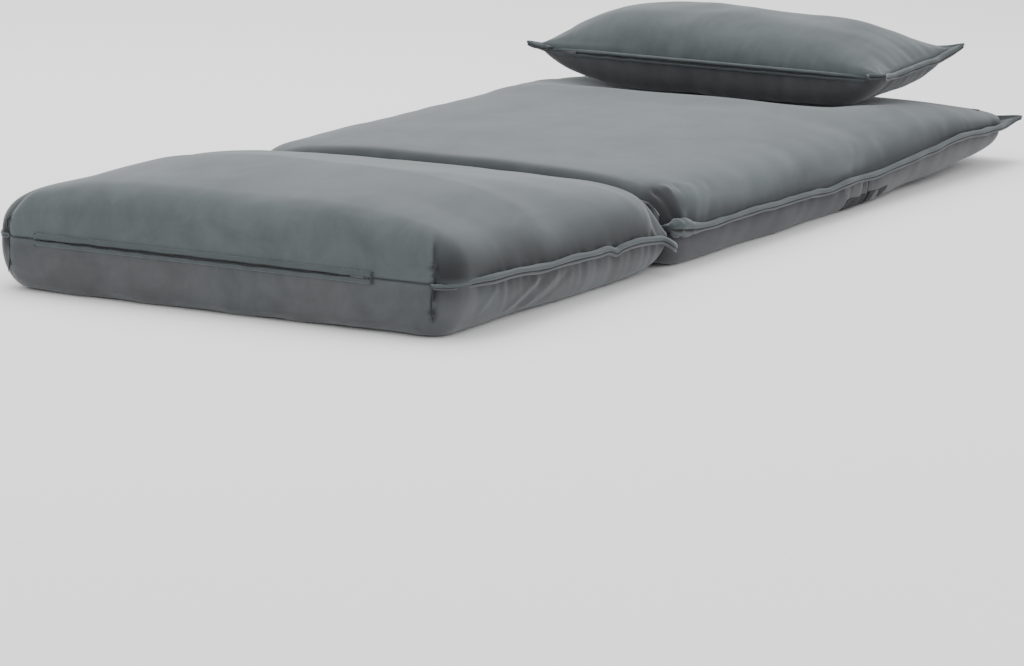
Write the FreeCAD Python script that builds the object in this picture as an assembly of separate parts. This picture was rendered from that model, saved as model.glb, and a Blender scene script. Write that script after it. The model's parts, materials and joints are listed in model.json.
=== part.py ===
"""Convertible floor chair bed: a foot cushion, a framed seat and back, and a loose pillow.

The long way of the bed is Y, with the foot end at -Y. X runs across and Z is up.
Lengths are in millimetres and the bottom of the seat lies at Z = 0.
"""
import FreeCAD, Part
import math
import os

Vec = FreeCAD.Vector

# Overall sizes, flange edge to flange edge
overall_width = 700.0
foot_length = 636.0
seat_length = 662.0
back_length = 558.0
flange_reach = 12.0
flange_thickness = 6.0

# Cloth and foam
cover_thickness = 2.0
fit_gap = 0.3

# Foot cushion
foot_crown = 170.0
foot_end_drop = 28.0
foot_end_drop_reach = 55.0
foot_end_slope = 30.0
foot_end_slope_reach = 290.0
foot_crease_drop = 34.0
foot_crease_slope = 28.0
foot_crease_slope_reach = 240.0
foot_corner = 34.0
foot_corner_reach = 48.0
foot_bottom_lift = 22.0
foot_low_round = 46.0
foot_seam_end = 72.0
end_panel_half = 296.0
end_panel_low = 27.0
end_panel_high = 102.0

# Mattress of the seat and the back
mattress_crown = 131.0
crease_drop = 14.0
crease_drop_reach = 60.0
crease_slope = 10.0
crease_slope_reach = 220.0
crease_corner = 14.0
crease_corner_reach = 30.0
crease_bottom_lift = 18.0
crease_bottom_reach = 75.0
crease_seam = 52.0
fold_seam = 47.0
head_seam = 50.0
head_corner = 44.0
head_corner_reach = 60.0
head_edge_half = 6.0
head_drop_reach = 90.0
head_lift_reach = 80.0
side_low_round = 24.0
upper_fullness = 2.5
lower_fullness = 2.2
crease_gap = 6.0
fold_gap = 3.0
head_pull_in = 8.0
bottom_sink = 1.5
crease_strip_height = 84.0
crease_strip_thickness = 1.5
crease_strip_half = 285.0
smallest_solid = 1.0
crest_steps = 16
side_steps = 6
sheet_steps = 24
overrun = 1.0

# Hinge lines
fold_axis_height = 55.0
rest_tilt_deg = 2.4
relief_angle_deg = 45.0

# Steel frame
tube_size = 20.0
tube_wall = 1.5
seat_tube_inner_x = 297.0
frame_from_crease = 58.0
frame_from_head = 78.0
tube_from_axis = 40.0
cross_tube_from_axis = 150.0
cap_flange = 2.0
cap_depth = 12.0
sling_thickness = 1.0
sling_inset = 1.0

# Ratchet hinges
cheek_thickness = 3.0
disc_thickness = 4.0
hinge_side_gap = 0.3
head_radius = 34.0
disc_radius = 24.0
tooth_depth = 3.0
tooth_count = 14
tooth_pitch_deg = 6.5
tooth_start_deg = 93.0
tooth_back_share = 0.9
tooth_root_share = 0.2
arm_width = 18.0
arm_length = 112.0
main_pin_radius = 6.0
pin_clearance = 0.05
pin_head_radius = 10.0
pin_head_height = 2.0
pawl_pivot_y = -42.0
pawl_pivot_z = -30.0
pawl_tip_gap = 0.6
pawl_width = 9.0
pawl_boss_radius = 6.75
pawl_tip_bevel = 1.0
pawl_pin_radius = 3.0
anchor_radius = 2.5
anchor_inset = 6.0
anchor_rise = 2.0
cheek_back_reach = 56.0
cheek_low_reach = 39.0
cheek_high_reach = 9.0
spring_thickness = 0.8
spring_clearance = 0.1
spring_touch_share = 0.5
spring_width = 3.0
rivet_radius = 3.0
rivet_head_radius = 5.0
rivet_head_height = 1.5
rivet_first = 62.0
rivet_second = 96.0
pocket_gap = 2.0

# Side panels near the fold
gusset_length = 90.0
gusset_slant = 8.0
patch_length = 76.0
patch_height = 22.0
patch_from_fold = 4.0

# Zips
foot_placket_length = 494.0
foot_placket_centre = -21.0
pillow_placket_length = 500.0
lip_height = 8.0
lip_thickness = 1.8
lip_web = 2.0
lip_gap_end = 0.8
lip_gap_middle = 2.0
lip_standoff = 5.2
bar_tack_length = 3.0
zip_slot_height = 4.0
tape_thickness = 0.6
tape_split = 1.2
teeth_width = 5.0
teeth_thickness = 1.8
slider_length = 13.0
slider_width = 8.0
slider_plate = 0.8
slider_gap = 0.2
zip_end_room = 4.0
pull_length = 18.0
pull_width = 4.5
pull_thickness = 0.8
pull_post_radius = 1.2
stop_length = 3.0
stop_height = 1.0
coil_clearance = 0.05
post_clearance = 0.1

# Pillow
pillow_length = 615.0
pillow_depth = 306.0
pillow_up = 70.0
pillow_down = 44.0
pillow_centre_from_fold = 386.0
pillow_centre_x = -38.0
pillow_flange = 13.0
pillow_edge_half = 5.0
pillow_corner = 30.0
pillow_corner_reach = 60.0
pillow_low_reach = 110.0
pillow_top_reach = 150.0
pillow_pull_in = 9.0
pillow_front_cut = 8.0
pillow_low_round = 70.0

full_half = overall_width / 2 - flange_reach
lip_out = lip_standoff + lip_thickness
tilt = math.radians(rest_tilt_deg)
head_tip_y = back_length * math.cos(tilt) - (head_seam - fold_axis_height) * math.sin(tilt)
crease_y = foot_length - (foot_length + seat_length + head_tip_y) / 2
fold_y = crease_y + seat_length
foot_end_y = crease_y - foot_length + lip_out
foot_near_y = crease_y - crease_gap / 2
body_length = seat_length + back_length - flange_reach
sole_start_y = crease_y + crease_bottom_reach
sole_end_y = fold_y + back_length - head_lift_reach - flange_reach
fold_point = Vec(0, fold_y, fold_axis_height)
relief = math.radians(relief_angle_deg)
far = 2000.0
margin = 50.0


def box(x_low, x_high, y_low, y_high, z_low, z_high):
    """An upright box between two corners."""
    return Part.makeBox(x_high - x_low, y_high - y_low, z_high - z_low, Vec(x_low, y_low, z_low))


def prism_x(points, x_low, x_high):
    """A flat outline of (y, z) points, pushed across X."""
    corners = [Vec(x_low, y, z) for y, z in points]
    face = Part.Face(Part.makePolygon(corners + corners[:1]))
    return face.extrude(Vec(x_high - x_low, 0, 0))


def rod_x(x_low, x_high, y, z, radius):
    """A round bar that lies along X."""
    return Part.makeCylinder(radius, x_high - x_low, Vec(x_low, y, z), Vec(1, 0, 0))


def mirrored(shape):
    """The same shape on the other side of the middle plane."""
    return shape.mirror(Vec(0, 0, 0), Vec(1, 0, 0))


def tilted(shape):
    """A back section piece, turned from flat to the small angle at which it lies."""
    turned = shape.copy()
    turned.rotate(fold_point, Vec(1, 0, 0), rest_tilt_deg)
    return turned


def eased(distance, reach, drop, power=2.0):
    """What a rounded end still lacks at a distance from it: all of drop at 0, nothing past reach."""
    if distance >= reach:
        return 0.0
    left = 1.0 - distance / reach
    return drop * (1.0 - (1.0 - left ** power) ** (1.0 / power))


def section(place, station, inset):
    """One closed cross-section: a flat bottom, two low side curves and one curve over the top."""
    along, half, low, seam, top, low_round = station
    half = half - inset
    low = low + inset
    top = top - inset
    base = half - low_round
    upper_power = 2.0 / upper_fullness
    lower_power = 2.0 / lower_fullness
    over = []
    for step in range(crest_steps + 1):
        turn = math.pi * step / crest_steps
        side = abs(math.cos(turn)) ** upper_power
        side = side if turn < math.pi / 2 else -side
        over.append(place(half * side, along, seam + (top - seam) * math.sin(turn) ** upper_power))
    over[0] = place(half, along, seam)
    over[-1] = place(-half, along, seam)
    under = []
    for step in range(side_steps + 1):
        turn = math.pi / 2 * step / side_steps
        out = base + low_round * math.sin(turn) ** lower_power
        rise = low + (seam - low) * (1.0 - max(0.0, math.cos(turn)) ** lower_power)
        under.append((out, rise))
    under[-1] = (half, seam)
    right = Part.BSplineCurve()
    right.interpolate([place(out, along, rise) for out, rise in under])
    crest = Part.BSplineCurve()
    crest.interpolate(over)
    left = Part.BSplineCurve()
    left.interpolate([place(-out, along, rise) for out, rise in reversed(under)])
    floor = Part.LineSegment(place(-base, along, low), place(base, along, low))
    return Part.Wire([floor.toShape(), right.toShape(), crest.toShape(), left.toShape()])


def stuffed(place, stations, inset):
    """A solid through cross-sections, drawn in by inset on every side."""
    shifted = list(stations)
    shifted[0] = (stations[0][0] + inset,) + stations[0][1:]
    shifted[-1] = (stations[-1][0] - inset,) + stations[-1][1:]
    return Part.makeLoft([section(place, station, inset) for station in shifted], True, False)


def hollow(outer, inner):
    """The shell between a solid and a smaller one inside it."""
    shells = [outer.Shells[0], inner.Shells[0].reversed()]
    return Part.makeSolid(Part.makeCompound(shells))


def above(shape, height):
    """What lies over a level."""
    return shape.common(box(-far, far, -far, far, height, far))


def spaced(length, near_steps, middle_steps):
    """Distances along a cushion: close together at both ends and even in the middle."""
    first = near_steps[-1]
    gap = (length - 2 * first) / (middle_steps + 1)
    middle = [first + gap * step for step in range(1, middle_steps + 1)]
    return near_steps + middle + [length - step for step in reversed(near_steps)]


def lengthwise(across, along, height):
    """Places a cross-section of a cushion whose long way is Y."""
    return Vec(across, along, height)


def foot_seam(y):
    """Height of the side seam of the foot cushion, falling towards the crease."""
    share = (y - foot_end_y) / (foot_near_y - foot_end_y)
    return foot_seam_end + (crease_seam - foot_seam_end) * share


def mattress_seam(y):
    """Height of the side seam of the mattress, lowest at the fold, before the back is tilted."""
    s = y - crease_y
    if s < seat_length:
        share = 0.5 + 0.5 * math.cos(math.pi * max(s, 0.0) / seat_length)
        return fold_seam + (crease_seam - fold_seam) * share
    share = 0.5 - 0.5 * math.cos(math.pi * (s - seat_length) / back_length)
    return fold_seam + (head_seam - fold_seam) * share


end_steps = [0.0, 4.0, 12.0, 26.0, 48.0, 90.0]
foot_body = foot_near_y - foot_end_y


def foot_form(inset):
    """The foot cushion: a blunt end, a high crown and a rounded edge at the crease."""
    stations = []
    for d in spaced(foot_body, end_steps, 4):
        near = foot_body - d
        half = full_half - eased(d, foot_corner_reach, foot_corner)
        half = half - eased(near, crease_corner_reach, crease_corner)
        low = eased(d, foot_corner_reach, foot_bottom_lift)
        low = low + eased(near, crease_bottom_reach, crease_bottom_lift)
        top = foot_crown - eased(d, foot_end_drop_reach, foot_end_drop)
        top = top - eased(d, foot_end_slope_reach, foot_end_slope)
        top = top - eased(near, crease_drop_reach, foot_crease_drop)
        top = top - eased(near, foot_crease_slope_reach, foot_crease_slope)
        y = foot_end_y + d
        stations.append((y, half, low - bottom_sink, foot_seam(y), top, foot_low_round))
    return above(stuffed(lengthwise, stations, inset), inset)


def mattress_form(inset):
    """Seat and back drawn flat, as one long mattress that thins to a seam at the head end."""
    stations = []
    start = crease_gap / 2
    for d in spaced(body_length - start, end_steps, 8):
        s = start + d
        y = crease_y + s
        head = body_length - s
        seam = mattress_seam(y)
        half = full_half - eased(d, crease_corner_reach, crease_corner)
        half = half - eased(head, head_corner_reach, head_corner)
        low = eased(d, crease_bottom_reach, crease_bottom_lift)
        low = low + eased(head, head_lift_reach, seam - head_edge_half)
        top = mattress_crown - eased(d, crease_drop_reach, crease_drop)
        top = top - eased(d, crease_slope_reach, crease_slope)
        top = top - eased(head, head_drop_reach, mattress_crown - seam - head_edge_half)
        stations.append((y, half, low - bottom_sink, seam, top, side_low_round))
    return above(stuffed(lengthwise, stations, inset), inset)


def seam_sheet(seam, y_low, y_high, low_side, high_side):
    """A wavy slab across the whole width that follows a seam's height, from low_side to high_side."""
    lows = []
    highs = []
    for step in range(sheet_steps + 1):
        y = y_low + (y_high - y_low) * step / sheet_steps
        lows.append(Vec(-far / 2, y, seam(y) + low_side))
        highs.append(Vec(-far / 2, y, seam(y) + high_side))
    under = Part.BSplineCurve()
    under.interpolate(lows)
    over = Part.BSplineCurve()
    over.interpolate(highs)
    near = Part.LineSegment(highs[0], lows[0])
    end = Part.LineSegment(lows[-1], highs[-1])
    edges = [under.toShape(), end.toShape(), over.toShape(), near.toShape()]
    wire = Part.Wire(Part.sortEdges(edges)[0])
    return Part.Face(wire).extrude(Vec(far, 0, 0))


# Seat space, back space and the relief between them, as outlines of (y, z)
rise = 400.0
seat_face_y = fold_y - fold_gap / 2
back_face_y = fold_y + fold_gap / 2
seat_slope = 1 / math.tan(relief)
back_slope = 1 / math.tan(relief - tilt)
relief_top = fold_axis_height + rise


def seat_side(gap, low, high):
    """Everything in front of the fold between two levels, a gap clear of the relief and the slit."""
    face = seat_face_y - gap
    points = [(-far, low), (face, low)]
    if low < fold_axis_height < high:
        points.append((face, fold_axis_height))
    start = max(low, fold_axis_height) - fold_axis_height
    end = high - fold_axis_height
    if low >= fold_axis_height:
        points[1] = (face - start * seat_slope, low)
    points.append((face - end * seat_slope if end > 0 else face, high))
    points.append((-far, high))
    return prism_x(points, -far / 2, far / 2)


def back_side(gap, low, high):
    """Everything behind the fold between two levels, before the back is tilted."""
    face = back_face_y + gap
    points = [(far, low), (face, low)]
    if low < fold_axis_height < high:
        points.append((face, fold_axis_height))
    start = max(low, fold_axis_height) - fold_axis_height
    end = high - fold_axis_height
    if low >= fold_axis_height:
        points[1] = (face + start * back_slope, low)
    points.append((face + end * back_slope if end > 0 else face, high))
    points.append((far, high))
    return prism_x(points, -far / 2, far / 2)


def relief_wedge(gap):
    """The triangle above the hinge line that both sides leave free at rest."""
    left = seat_face_y + gap
    right = back_face_y - gap
    width = rise * seat_slope
    points = [(left, fold_axis_height + gap), (left - width, relief_top), (right + width, relief_top)]
    points.append((right, fold_axis_height + gap))
    return prism_x(points, -far / 2, far / 2)


# Zips, drawn along X with the cloth they lie on at Y = 0 and their outer side towards -Y
slider_back = slider_gap
teeth_back = slider_back + slider_plate + slider_gap
teeth_front = teeth_back + teeth_thickness
slider_front = teeth_front + slider_gap + slider_plate
pull_back = slider_front + slider_gap
pull_front = pull_back + pull_thickness
lip_back = lip_standoff
tape_back = (teeth_back + teeth_front - tape_thickness) / 2
tape_outer = lip_height - lip_web


def placket(length):
    """Two welted lips over the zip, with a gap that opens in the middle, and a bar tack at each end."""
    half = length / 2
    front = lip_back + lip_thickness
    profile = [(0, lip_height), (-front, lip_height), (-front, 0), (-lip_back, 0)]
    profile = profile + [(-lip_back, tape_outer), (0, tape_outer)]
    upper = prism_x(profile, -half, half)
    left = Vec(-half, -far, lip_gap_end)
    right = Vec(half, -far, lip_gap_end)
    low_left = Vec(-half, -far, -overrun)
    low_right = Vec(half, -far, -overrun)
    bow = Part.Arc(left, Vec(0, -far, lip_gap_middle), right)
    lines = [Part.LineSegment(right, low_right), Part.LineSegment(low_right, low_left)]
    lines.append(Part.LineSegment(low_left, left))
    opening = Part.Wire([edge.toShape() for edge in [bow] + lines])
    upper = upper.cut(Part.Face(opening).extrude(Vec(0, 2 * far, 0)))
    lower = upper.mirror(Vec(0, 0, 0), Vec(0, 0, 1))
    tack = box(half, half + bar_tack_length, -front, 0, -lip_height, lip_height)
    return Part.makeCompound([upper, lower, tack, mirrored(tack)])


def zip_parts(length):
    """Tapes with stops, coils, and slider with pull of one closed zip, its slider at the -X end."""
    half = length / 2
    first_stop_end = -half + zip_end_room
    coil_start = first_stop_end + slider_gap + slider_length
    coil_end = half - zip_end_room - stop_length
    middle = -(teeth_back + teeth_front) / 2
    tape_front = tape_back + tape_thickness
    tape = box(-half, half, -tape_front, -tape_back, tape_split / 2, tape_outer)
    coil_radius = teeth_thickness / 2
    coil_height = coil_radius + coil_clearance
    coil = rod_x(coil_start, coil_end, middle, coil_height, coil_radius)
    tape = tape.cut(rod_x(coil_start, coil_end, middle, coil_height, coil_radius + coil_clearance / 2))
    lower_tape = tape.mirror(Vec(0, 0, 0), Vec(0, 0, 1))
    lower_coil = coil.mirror(Vec(0, 0, 0), Vec(0, 0, 1))
    stops = []
    for start in (first_stop_end - stop_length, coil_end):
        stops.append(box(start, start + stop_length, -tape_front - stop_height, -tape_front,
                         -teeth_width / 2, teeth_width / 2))
    return {
        "tapes": Part.makeCompound([tape, lower_tape] + stops),
        "coils": Part.makeCompound([coil, lower_coil]),
        "slider": Part.makeCompound([zip_slider(coil_start), zip_pull(coil_start)]),
    }


def zip_slider(coil_start):
    """A back plate and a front plate with low walls, a wedge post between them and a pull post."""
    low_x = coil_start - slider_length
    half = slider_width / 2
    wall = slider_plate
    room = tape_thickness / 2 + slider_gap
    middle = (teeth_back + teeth_front) / 2
    body = box(low_x, coil_start, -slider_back - slider_plate, -slider_back, -half, half)
    body = body.fuse(box(low_x, coil_start, -slider_front, -slider_front + slider_plate, -half, half))
    for side in (-1, 1):
        edge = side * half
        inner = edge - side * wall
        low_z = min(edge, inner)
        high_z = max(edge, inner)
        body = body.fuse(box(low_x, coil_start, -middle + room, -slider_back, low_z, high_z))
        body = body.fuse(box(low_x, coil_start, -slider_front, -middle - room, low_z, high_z))
    post_half = tape_split / 2 - post_clearance
    post = box(low_x, low_x + slider_length / 3, -slider_front, -slider_back, -post_half, post_half)
    body = body.fuse(post)
    pivot = Part.makeCylinder(pull_post_radius, pull_front - slider_front + slider_gap,
                              Vec(low_x + slider_length / 2, -slider_front, 0), Vec(0, -1, 0))
    return body.fuse(pivot).removeSplitter()


def zip_pull(coil_start):
    """A flat tab with an eye round the slider's post, tucked along the zip under the lips."""
    eye_x = coil_start - slider_length / 2
    radius = pull_width / 2
    eye = Part.makeCylinder(radius, pull_thickness, Vec(eye_x, -pull_back, 0), Vec(0, -1, 0))
    tab = box(eye_x, eye_x + pull_length, -pull_front, -pull_back, -radius, radius)
    hole = Part.makeCylinder(pull_post_radius + slider_gap, far, Vec(eye_x, 0, 0), Vec(0, -1, 0))
    return eye.fuse(tab).cut(hole).removeSplitter()


# Steel frame and ratchet hinges of the +X side, drawn with the back section flat
axis_z = fold_axis_height
tube_low = axis_z - tube_size / 2
tube_high = axis_z + tube_size / 2
outer_cheek_in = seat_tube_inner_x - cheek_thickness
disc_out = outer_cheek_in - hinge_side_gap
disc_in = disc_out - disc_thickness
inner_cheek_out = disc_in - hinge_side_gap
inner_cheek_in = inner_cheek_out - cheek_thickness
back_tube_inner_x = disc_out
seat_frame_start = crease_y + frame_from_crease
back_frame_end = fold_y + back_length - frame_from_head


def tube_y(inner_x, y_low, y_high):
    """A square tube that runs along Y."""
    outer = box(inner_x, inner_x + tube_size, y_low, y_high, tube_low, tube_high)
    wall = tube_wall
    bore = box(inner_x + wall, inner_x + tube_size - wall, y_low, y_high, tube_low + wall, tube_high - wall)
    return outer.cut(bore)


def tube_x(half_length, y_low):
    """A square tube that runs across, from one side tube to the other."""
    outer = box(-half_length, half_length, y_low, y_low + tube_size, tube_low, tube_high)
    wall = tube_wall
    bore = box(-half_length, half_length, y_low + wall, y_low + tube_size - wall,
               tube_low + wall, tube_high - wall)
    return outer.cut(bore)


def tube_cap(inner_x, end_y, outward):
    """A plug in an open tube end, with a flange outside it. outward is -1 or 1 along Y."""
    room = tube_wall + fit_gap
    plug_y = sorted([end_y, end_y - outward * cap_depth])
    rim_y = sorted([end_y, end_y + outward * cap_flange])
    plug = box(inner_x + room, inner_x + tube_size - room, plug_y[0], plug_y[1],
               tube_low + room, tube_high - room)
    rim = box(inner_x, inner_x + tube_size, rim_y[0], rim_y[1], tube_low, tube_high)
    return plug.fuse(rim).removeSplitter()


def rivet_holes(side, x_low, x_high):
    """The two holes through an arm and a tube wall. side is -1 for the seat and 1 for the back."""
    holes = []
    for reach in (rivet_first, rivet_second):
        holes.append(rod_x(x_low, x_high, fold_y + side * reach, axis_z, rivet_radius + pin_clearance))
    return holes


def rivets(side, arm_face_x, wall_face_x):
    """Two blind rivets: a head on the arm, a shank through arm and wall, and a bulb in the tube."""
    made = []
    for reach in (rivet_first, rivet_second):
        y = fold_y + side * reach
        shank = rod_x(arm_face_x, wall_face_x, y, axis_z, rivet_radius)
        head = rod_x(arm_face_x - rivet_head_height, arm_face_x, y, axis_z, rivet_head_radius)
        bulb = rod_x(wall_face_x, wall_face_x + rivet_head_height, y, axis_z, rivet_head_radius)
        made.append(shank.fuse([head, bulb]).removeSplitter())
    return made


pawl_y = fold_y + pawl_pivot_y
pawl_z = axis_z + pawl_pivot_z
anchor_y = fold_y - cheek_back_reach + anchor_inset
anchor_z = axis_z + anchor_rise


def cheek(x_low, with_arm):
    """One side plate of a ratchet housing, round over the disc and square over the pawl."""
    plate = rod_x(x_low, x_low + cheek_thickness, fold_y, axis_z, head_radius)
    tail = box(x_low, x_low + cheek_thickness, fold_y - cheek_back_reach, fold_y,
               axis_z - cheek_low_reach, axis_z + cheek_high_reach)
    plate = plate.fuse(tail)
    if with_arm:
        arm = box(x_low, x_low + cheek_thickness, fold_y - arm_length, fold_y,
                  axis_z - arm_width / 2, axis_z + arm_width / 2)
        plate = plate.fuse(arm)
    start = x_low - overrun
    end = x_low + cheek_thickness + overrun
    holes = [rod_x(start, end, fold_y, axis_z, main_pin_radius + pin_clearance)]
    holes.append(rod_x(start, end, pawl_y, pawl_z, pawl_pin_radius + pin_clearance))
    holes.append(rod_x(start, end, anchor_y, anchor_z, anchor_radius + pin_clearance))
    if with_arm:
        holes = holes + rivet_holes(-1, start, end)
    return plate.cut(holes).removeSplitter()


def toothed_arm():
    """The ratchet disc and the arm that carries the back frame, in one plate."""
    disc = rod_x(disc_in, disc_out, fold_y, axis_z, disc_radius)
    arm = box(disc_in, disc_out, fold_y, fold_y + arm_length, axis_z - arm_width / 2, axis_z + arm_width / 2)
    start = disc_in - overrun
    end = disc_out + overrun
    outer = disc_radius + overrun
    root = disc_radius - tooth_depth
    shape = ((outer, 0.0), (outer, tooth_back_share), (root, tooth_root_share))
    notches = []
    for tooth in range(tooth_count):
        corners = []
        for radius, share in shape:
            angle = math.radians(tooth_start_deg + (tooth + share) * tooth_pitch_deg)
            corners.append((fold_y + radius * math.cos(angle), axis_z + radius * math.sin(angle)))
        notches.append(prism_x(corners, start, end))
    holes = rivet_holes(1, start, end)
    holes.append(rod_x(start, end, fold_y, axis_z, main_pin_radius + pin_clearance))
    return disc.fuse(arm).cut(notches + holes).removeSplitter()


def pin(y, z, radius, head, outer_head):
    """A pin through both cheeks, headed inside and, where there is room, outside."""
    shank = rod_x(inner_cheek_in - pin_head_height, seat_tube_inner_x, y, z, radius)
    shank = shank.fuse(rod_x(inner_cheek_in - pin_head_height, inner_cheek_in, y, z, head))
    if outer_head:
        shank = shank.fuse(rod_x(seat_tube_inner_x, seat_tube_inner_x + pin_head_height, y, z, head))
    return shank.removeSplitter()


tip_y = fold_y - disc_radius - pawl_tip_gap
tip_z = axis_z
heel_y = tip_y - pawl_width
heel_z = axis_z + pawl_width / 4


def pawl():
    """A lever on its pin, whose tip lies just off the crests of the ratchet teeth."""
    half = pawl_width / 2
    boss = rod_x(disc_in, disc_out, pawl_y, pawl_z, pawl_boss_radius)
    outline = [(pawl_y + half, pawl_z), (tip_y, tip_z - 2 * pawl_tip_bevel), (tip_y - pawl_tip_bevel, tip_z)]
    outline = outline + [(heel_y, heel_z), (pawl_y - half, pawl_z)]
    lever = prism_x(outline, disc_in, disc_out)
    hole = rod_x(disc_in - overrun, disc_out + overrun, pawl_y, pawl_z, pawl_pin_radius + pin_clearance)
    return boss.fuse(lever).cut(hole).removeSplitter()


def pawl_spring():
    """A leaf from the anchor pin to the back edge of the pawl."""
    along = Vec(0, heel_y - (pawl_y - pawl_width / 2), heel_z - pawl_z)
    touch = Vec(0, pawl_y - pawl_width / 2, pawl_z) + along * spring_touch_share
    normal = Vec(0, -along.z, along.y).normalize()
    end = touch + normal * (spring_thickness / 2 + spring_clearance)
    start = Vec(0, anchor_y, anchor_z)
    way = (end - start).normalize()
    start = start + way * (anchor_radius + pin_clearance)
    side = Vec(0, -way.z, way.y) * (spring_thickness / 2)
    corners = [start + side, end + side, end - side, start - side]
    middle = (disc_in + disc_out) / 2
    return prism_x([(c.y, c.z) for c in corners], middle - spring_width / 2, middle + spring_width / 2)


# Room that foams leave for the steel inside them
def grown(x_low, x_high, y_low, y_high, z_low, z_high, gap):
    """A box with a gap added on every side."""
    return box(x_low - gap, x_high + gap, y_low - gap, y_high + gap, z_low - gap, z_high + gap)


def seat_hinge_room():
    """Space round the ratchet housing and its arm."""
    inner = inner_cheek_in - pin_head_height - pocket_gap
    outer = seat_tube_inner_x + pin_head_height + pocket_gap
    room = rod_x(inner, outer, fold_y, axis_z, head_radius + pocket_gap)
    tail = box(inner, outer, fold_y - cheek_back_reach - pocket_gap, fold_y,
               axis_z - cheek_low_reach - pocket_gap, axis_z + cheek_high_reach + fit_gap)
    arm = box(inner, outer, fold_y - arm_length - pocket_gap, fold_y,
              axis_z - arm_width / 2 - fit_gap, axis_z + arm_width / 2 + fit_gap)
    return [room, tail, arm]


def back_hinge_room():
    """Space round the disc and the moving arm."""
    inner = inner_cheek_in - pin_head_height - pocket_gap
    outer = seat_tube_inner_x + pin_head_height + pocket_gap
    room = rod_x(inner, outer, fold_y, axis_z, head_radius + pocket_gap)
    arm = box(inner, outer, fold_y, fold_y + arm_length + pocket_gap,
              axis_z - arm_width / 2 - fit_gap, axis_z + arm_width / 2 + fit_gap)
    return [room, arm]


def with_mirrors(shapes):
    """Shapes and their mirror images."""
    return shapes + [mirrored(shape) for shape in shapes]


sling_low = tube_high
sling_high = tube_high + sling_thickness
rear_cross_y = fold_y - cross_tube_from_axis
back_cross_y = fold_y + cross_tube_from_axis - tube_size
seat_tube_end = fold_y - tube_from_axis
back_tube_start = fold_y + tube_from_axis


def seat_parts():
    """Frame, hinges, foams, sling and cover panels of the seat."""
    parts = {}
    side_tube = tube_y(seat_tube_inner_x, seat_frame_start, seat_tube_end)
    start = seat_tube_inner_x - overrun
    side_tube = side_tube.cut(rivet_holes(-1, start, seat_tube_inner_x + 2 * tube_wall))
    parts["seat_side_tube_right"] = side_tube
    parts["seat_side_tube_left"] = mirrored(side_tube)
    parts["seat_front_tube"] = tube_x(seat_tube_inner_x, seat_frame_start)
    parts["seat_rear_tube"] = tube_x(seat_tube_inner_x, rear_cross_y)
    caps = [tube_cap(seat_tube_inner_x, seat_frame_start, -1), tube_cap(seat_tube_inner_x, seat_tube_end, 1)]
    parts["seat_tube_caps"] = Part.makeCompound(with_mirrors(caps))
    heads = rivets(-1, outer_cheek_in, seat_tube_inner_x + tube_wall)
    parts["seat_frame_rivets"] = Part.makeCompound(with_mirrors(heads))
    housing = Part.makeCompound([cheek(outer_cheek_in, True), cheek(inner_cheek_in, False)])
    parts["hinge_cheeks_right"] = housing
    parts["hinge_cheeks_left"] = mirrored(housing)
    pins = [pin(fold_y, axis_z, main_pin_radius, pin_head_radius, True)]
    pins.append(pin(pawl_y, pawl_z, pawl_pin_radius, rivet_head_radius, True))
    pins.append(pin(anchor_y, anchor_z, anchor_radius, rivet_head_radius, False))
    parts["hinge_pins"] = Part.makeCompound(with_mirrors(pins))
    parts["pawl_right"] = pawl()
    parts["pawl_left"] = mirrored(pawl())
    parts["pawl_spring_right"] = pawl_spring()
    parts["pawl_spring_left"] = mirrored(pawl_spring())
    sling_half = seat_tube_inner_x + tube_size - sling_inset
    sling_end = rear_cross_y + tube_size
    parts["seat_sling"] = box(-sling_half, sling_half, seat_frame_start, sling_end, sling_low, sling_high)

    gap = fit_gap + cover_thickness
    upper = mattress_core.common(seat_side(gap, sling_high + fit_gap, relief_top))
    parts["seat_foam_top"] = upper.cut(with_mirrors(seat_hinge_room()))
    lower = mattress_core.common(seat_side(gap, 0.0, sling_low - fit_gap))
    inner_x = seat_tube_inner_x
    room = seat_hinge_room()
    room.append(grown(inner_x, inner_x + tube_size, seat_frame_start - cap_flange, seat_tube_end + cap_flange,
                      tube_low, tube_high, fit_gap))
    room = with_mirrors(room)
    for start in (seat_frame_start, rear_cross_y):
        room.append(grown(-inner_x, inner_x, start, start + tube_size, tube_low, tube_high, fit_gap))
    parts["seat_foam_base"] = lower.cut(room)

    skin = mattress_skin.common(seat_side(0.0, -overrun, relief_top))
    over = seam_sheet(mattress_seam, crease_y - margin, fold_y + margin, flange_thickness / 2, rise)
    parts["seat_cover_top"] = skin.common(over)
    under = skin.cut(over)
    base = box(-far, far, sole_start_y, far, -overrun, cover_thickness)
    fold_panel = mattress_inner.common(box(-far, far, seat_face_y - cover_thickness, seat_face_y,
                                           cover_thickness, axis_z))
    fold_panel = fold_panel.cut(with_mirrors(seat_hinge_room()))
    sole = mattress_outer.common(seat_side(0.0, -overrun, cover_thickness)).common(base)
    parts["seat_base_panel"] = Part.makeCompound(sole.Solids + fold_panel.Solids)
    under = under.cut(base)
    patches = box(-far, far, fold_y - patch_length, fold_y - patch_from_fold, 0.0, patch_height)
    start = fold_y - gusset_length
    outline = [(start, rise), (start, fold_seam), (start + gusset_slant, 0.0), (fold_y, 0.0), (fold_y, rise)]
    gusset = prism_x(outline, -far / 2, far / 2)
    parts["seat_border"] = under.cut(gusset)
    gussets = under.common(gusset)
    parts["seat_gussets"] = gussets.cut(patches)
    parts["seat_corner_patches"] = gussets.common(patches)
    plan = box(-overall_width / 2, overall_width / 2, crease_y + crease_gap / 2, seat_face_y, -far, far)
    parts["seat_piping"] = flange(mattress_seam, plan, mattress_outer)
    return parts


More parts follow.
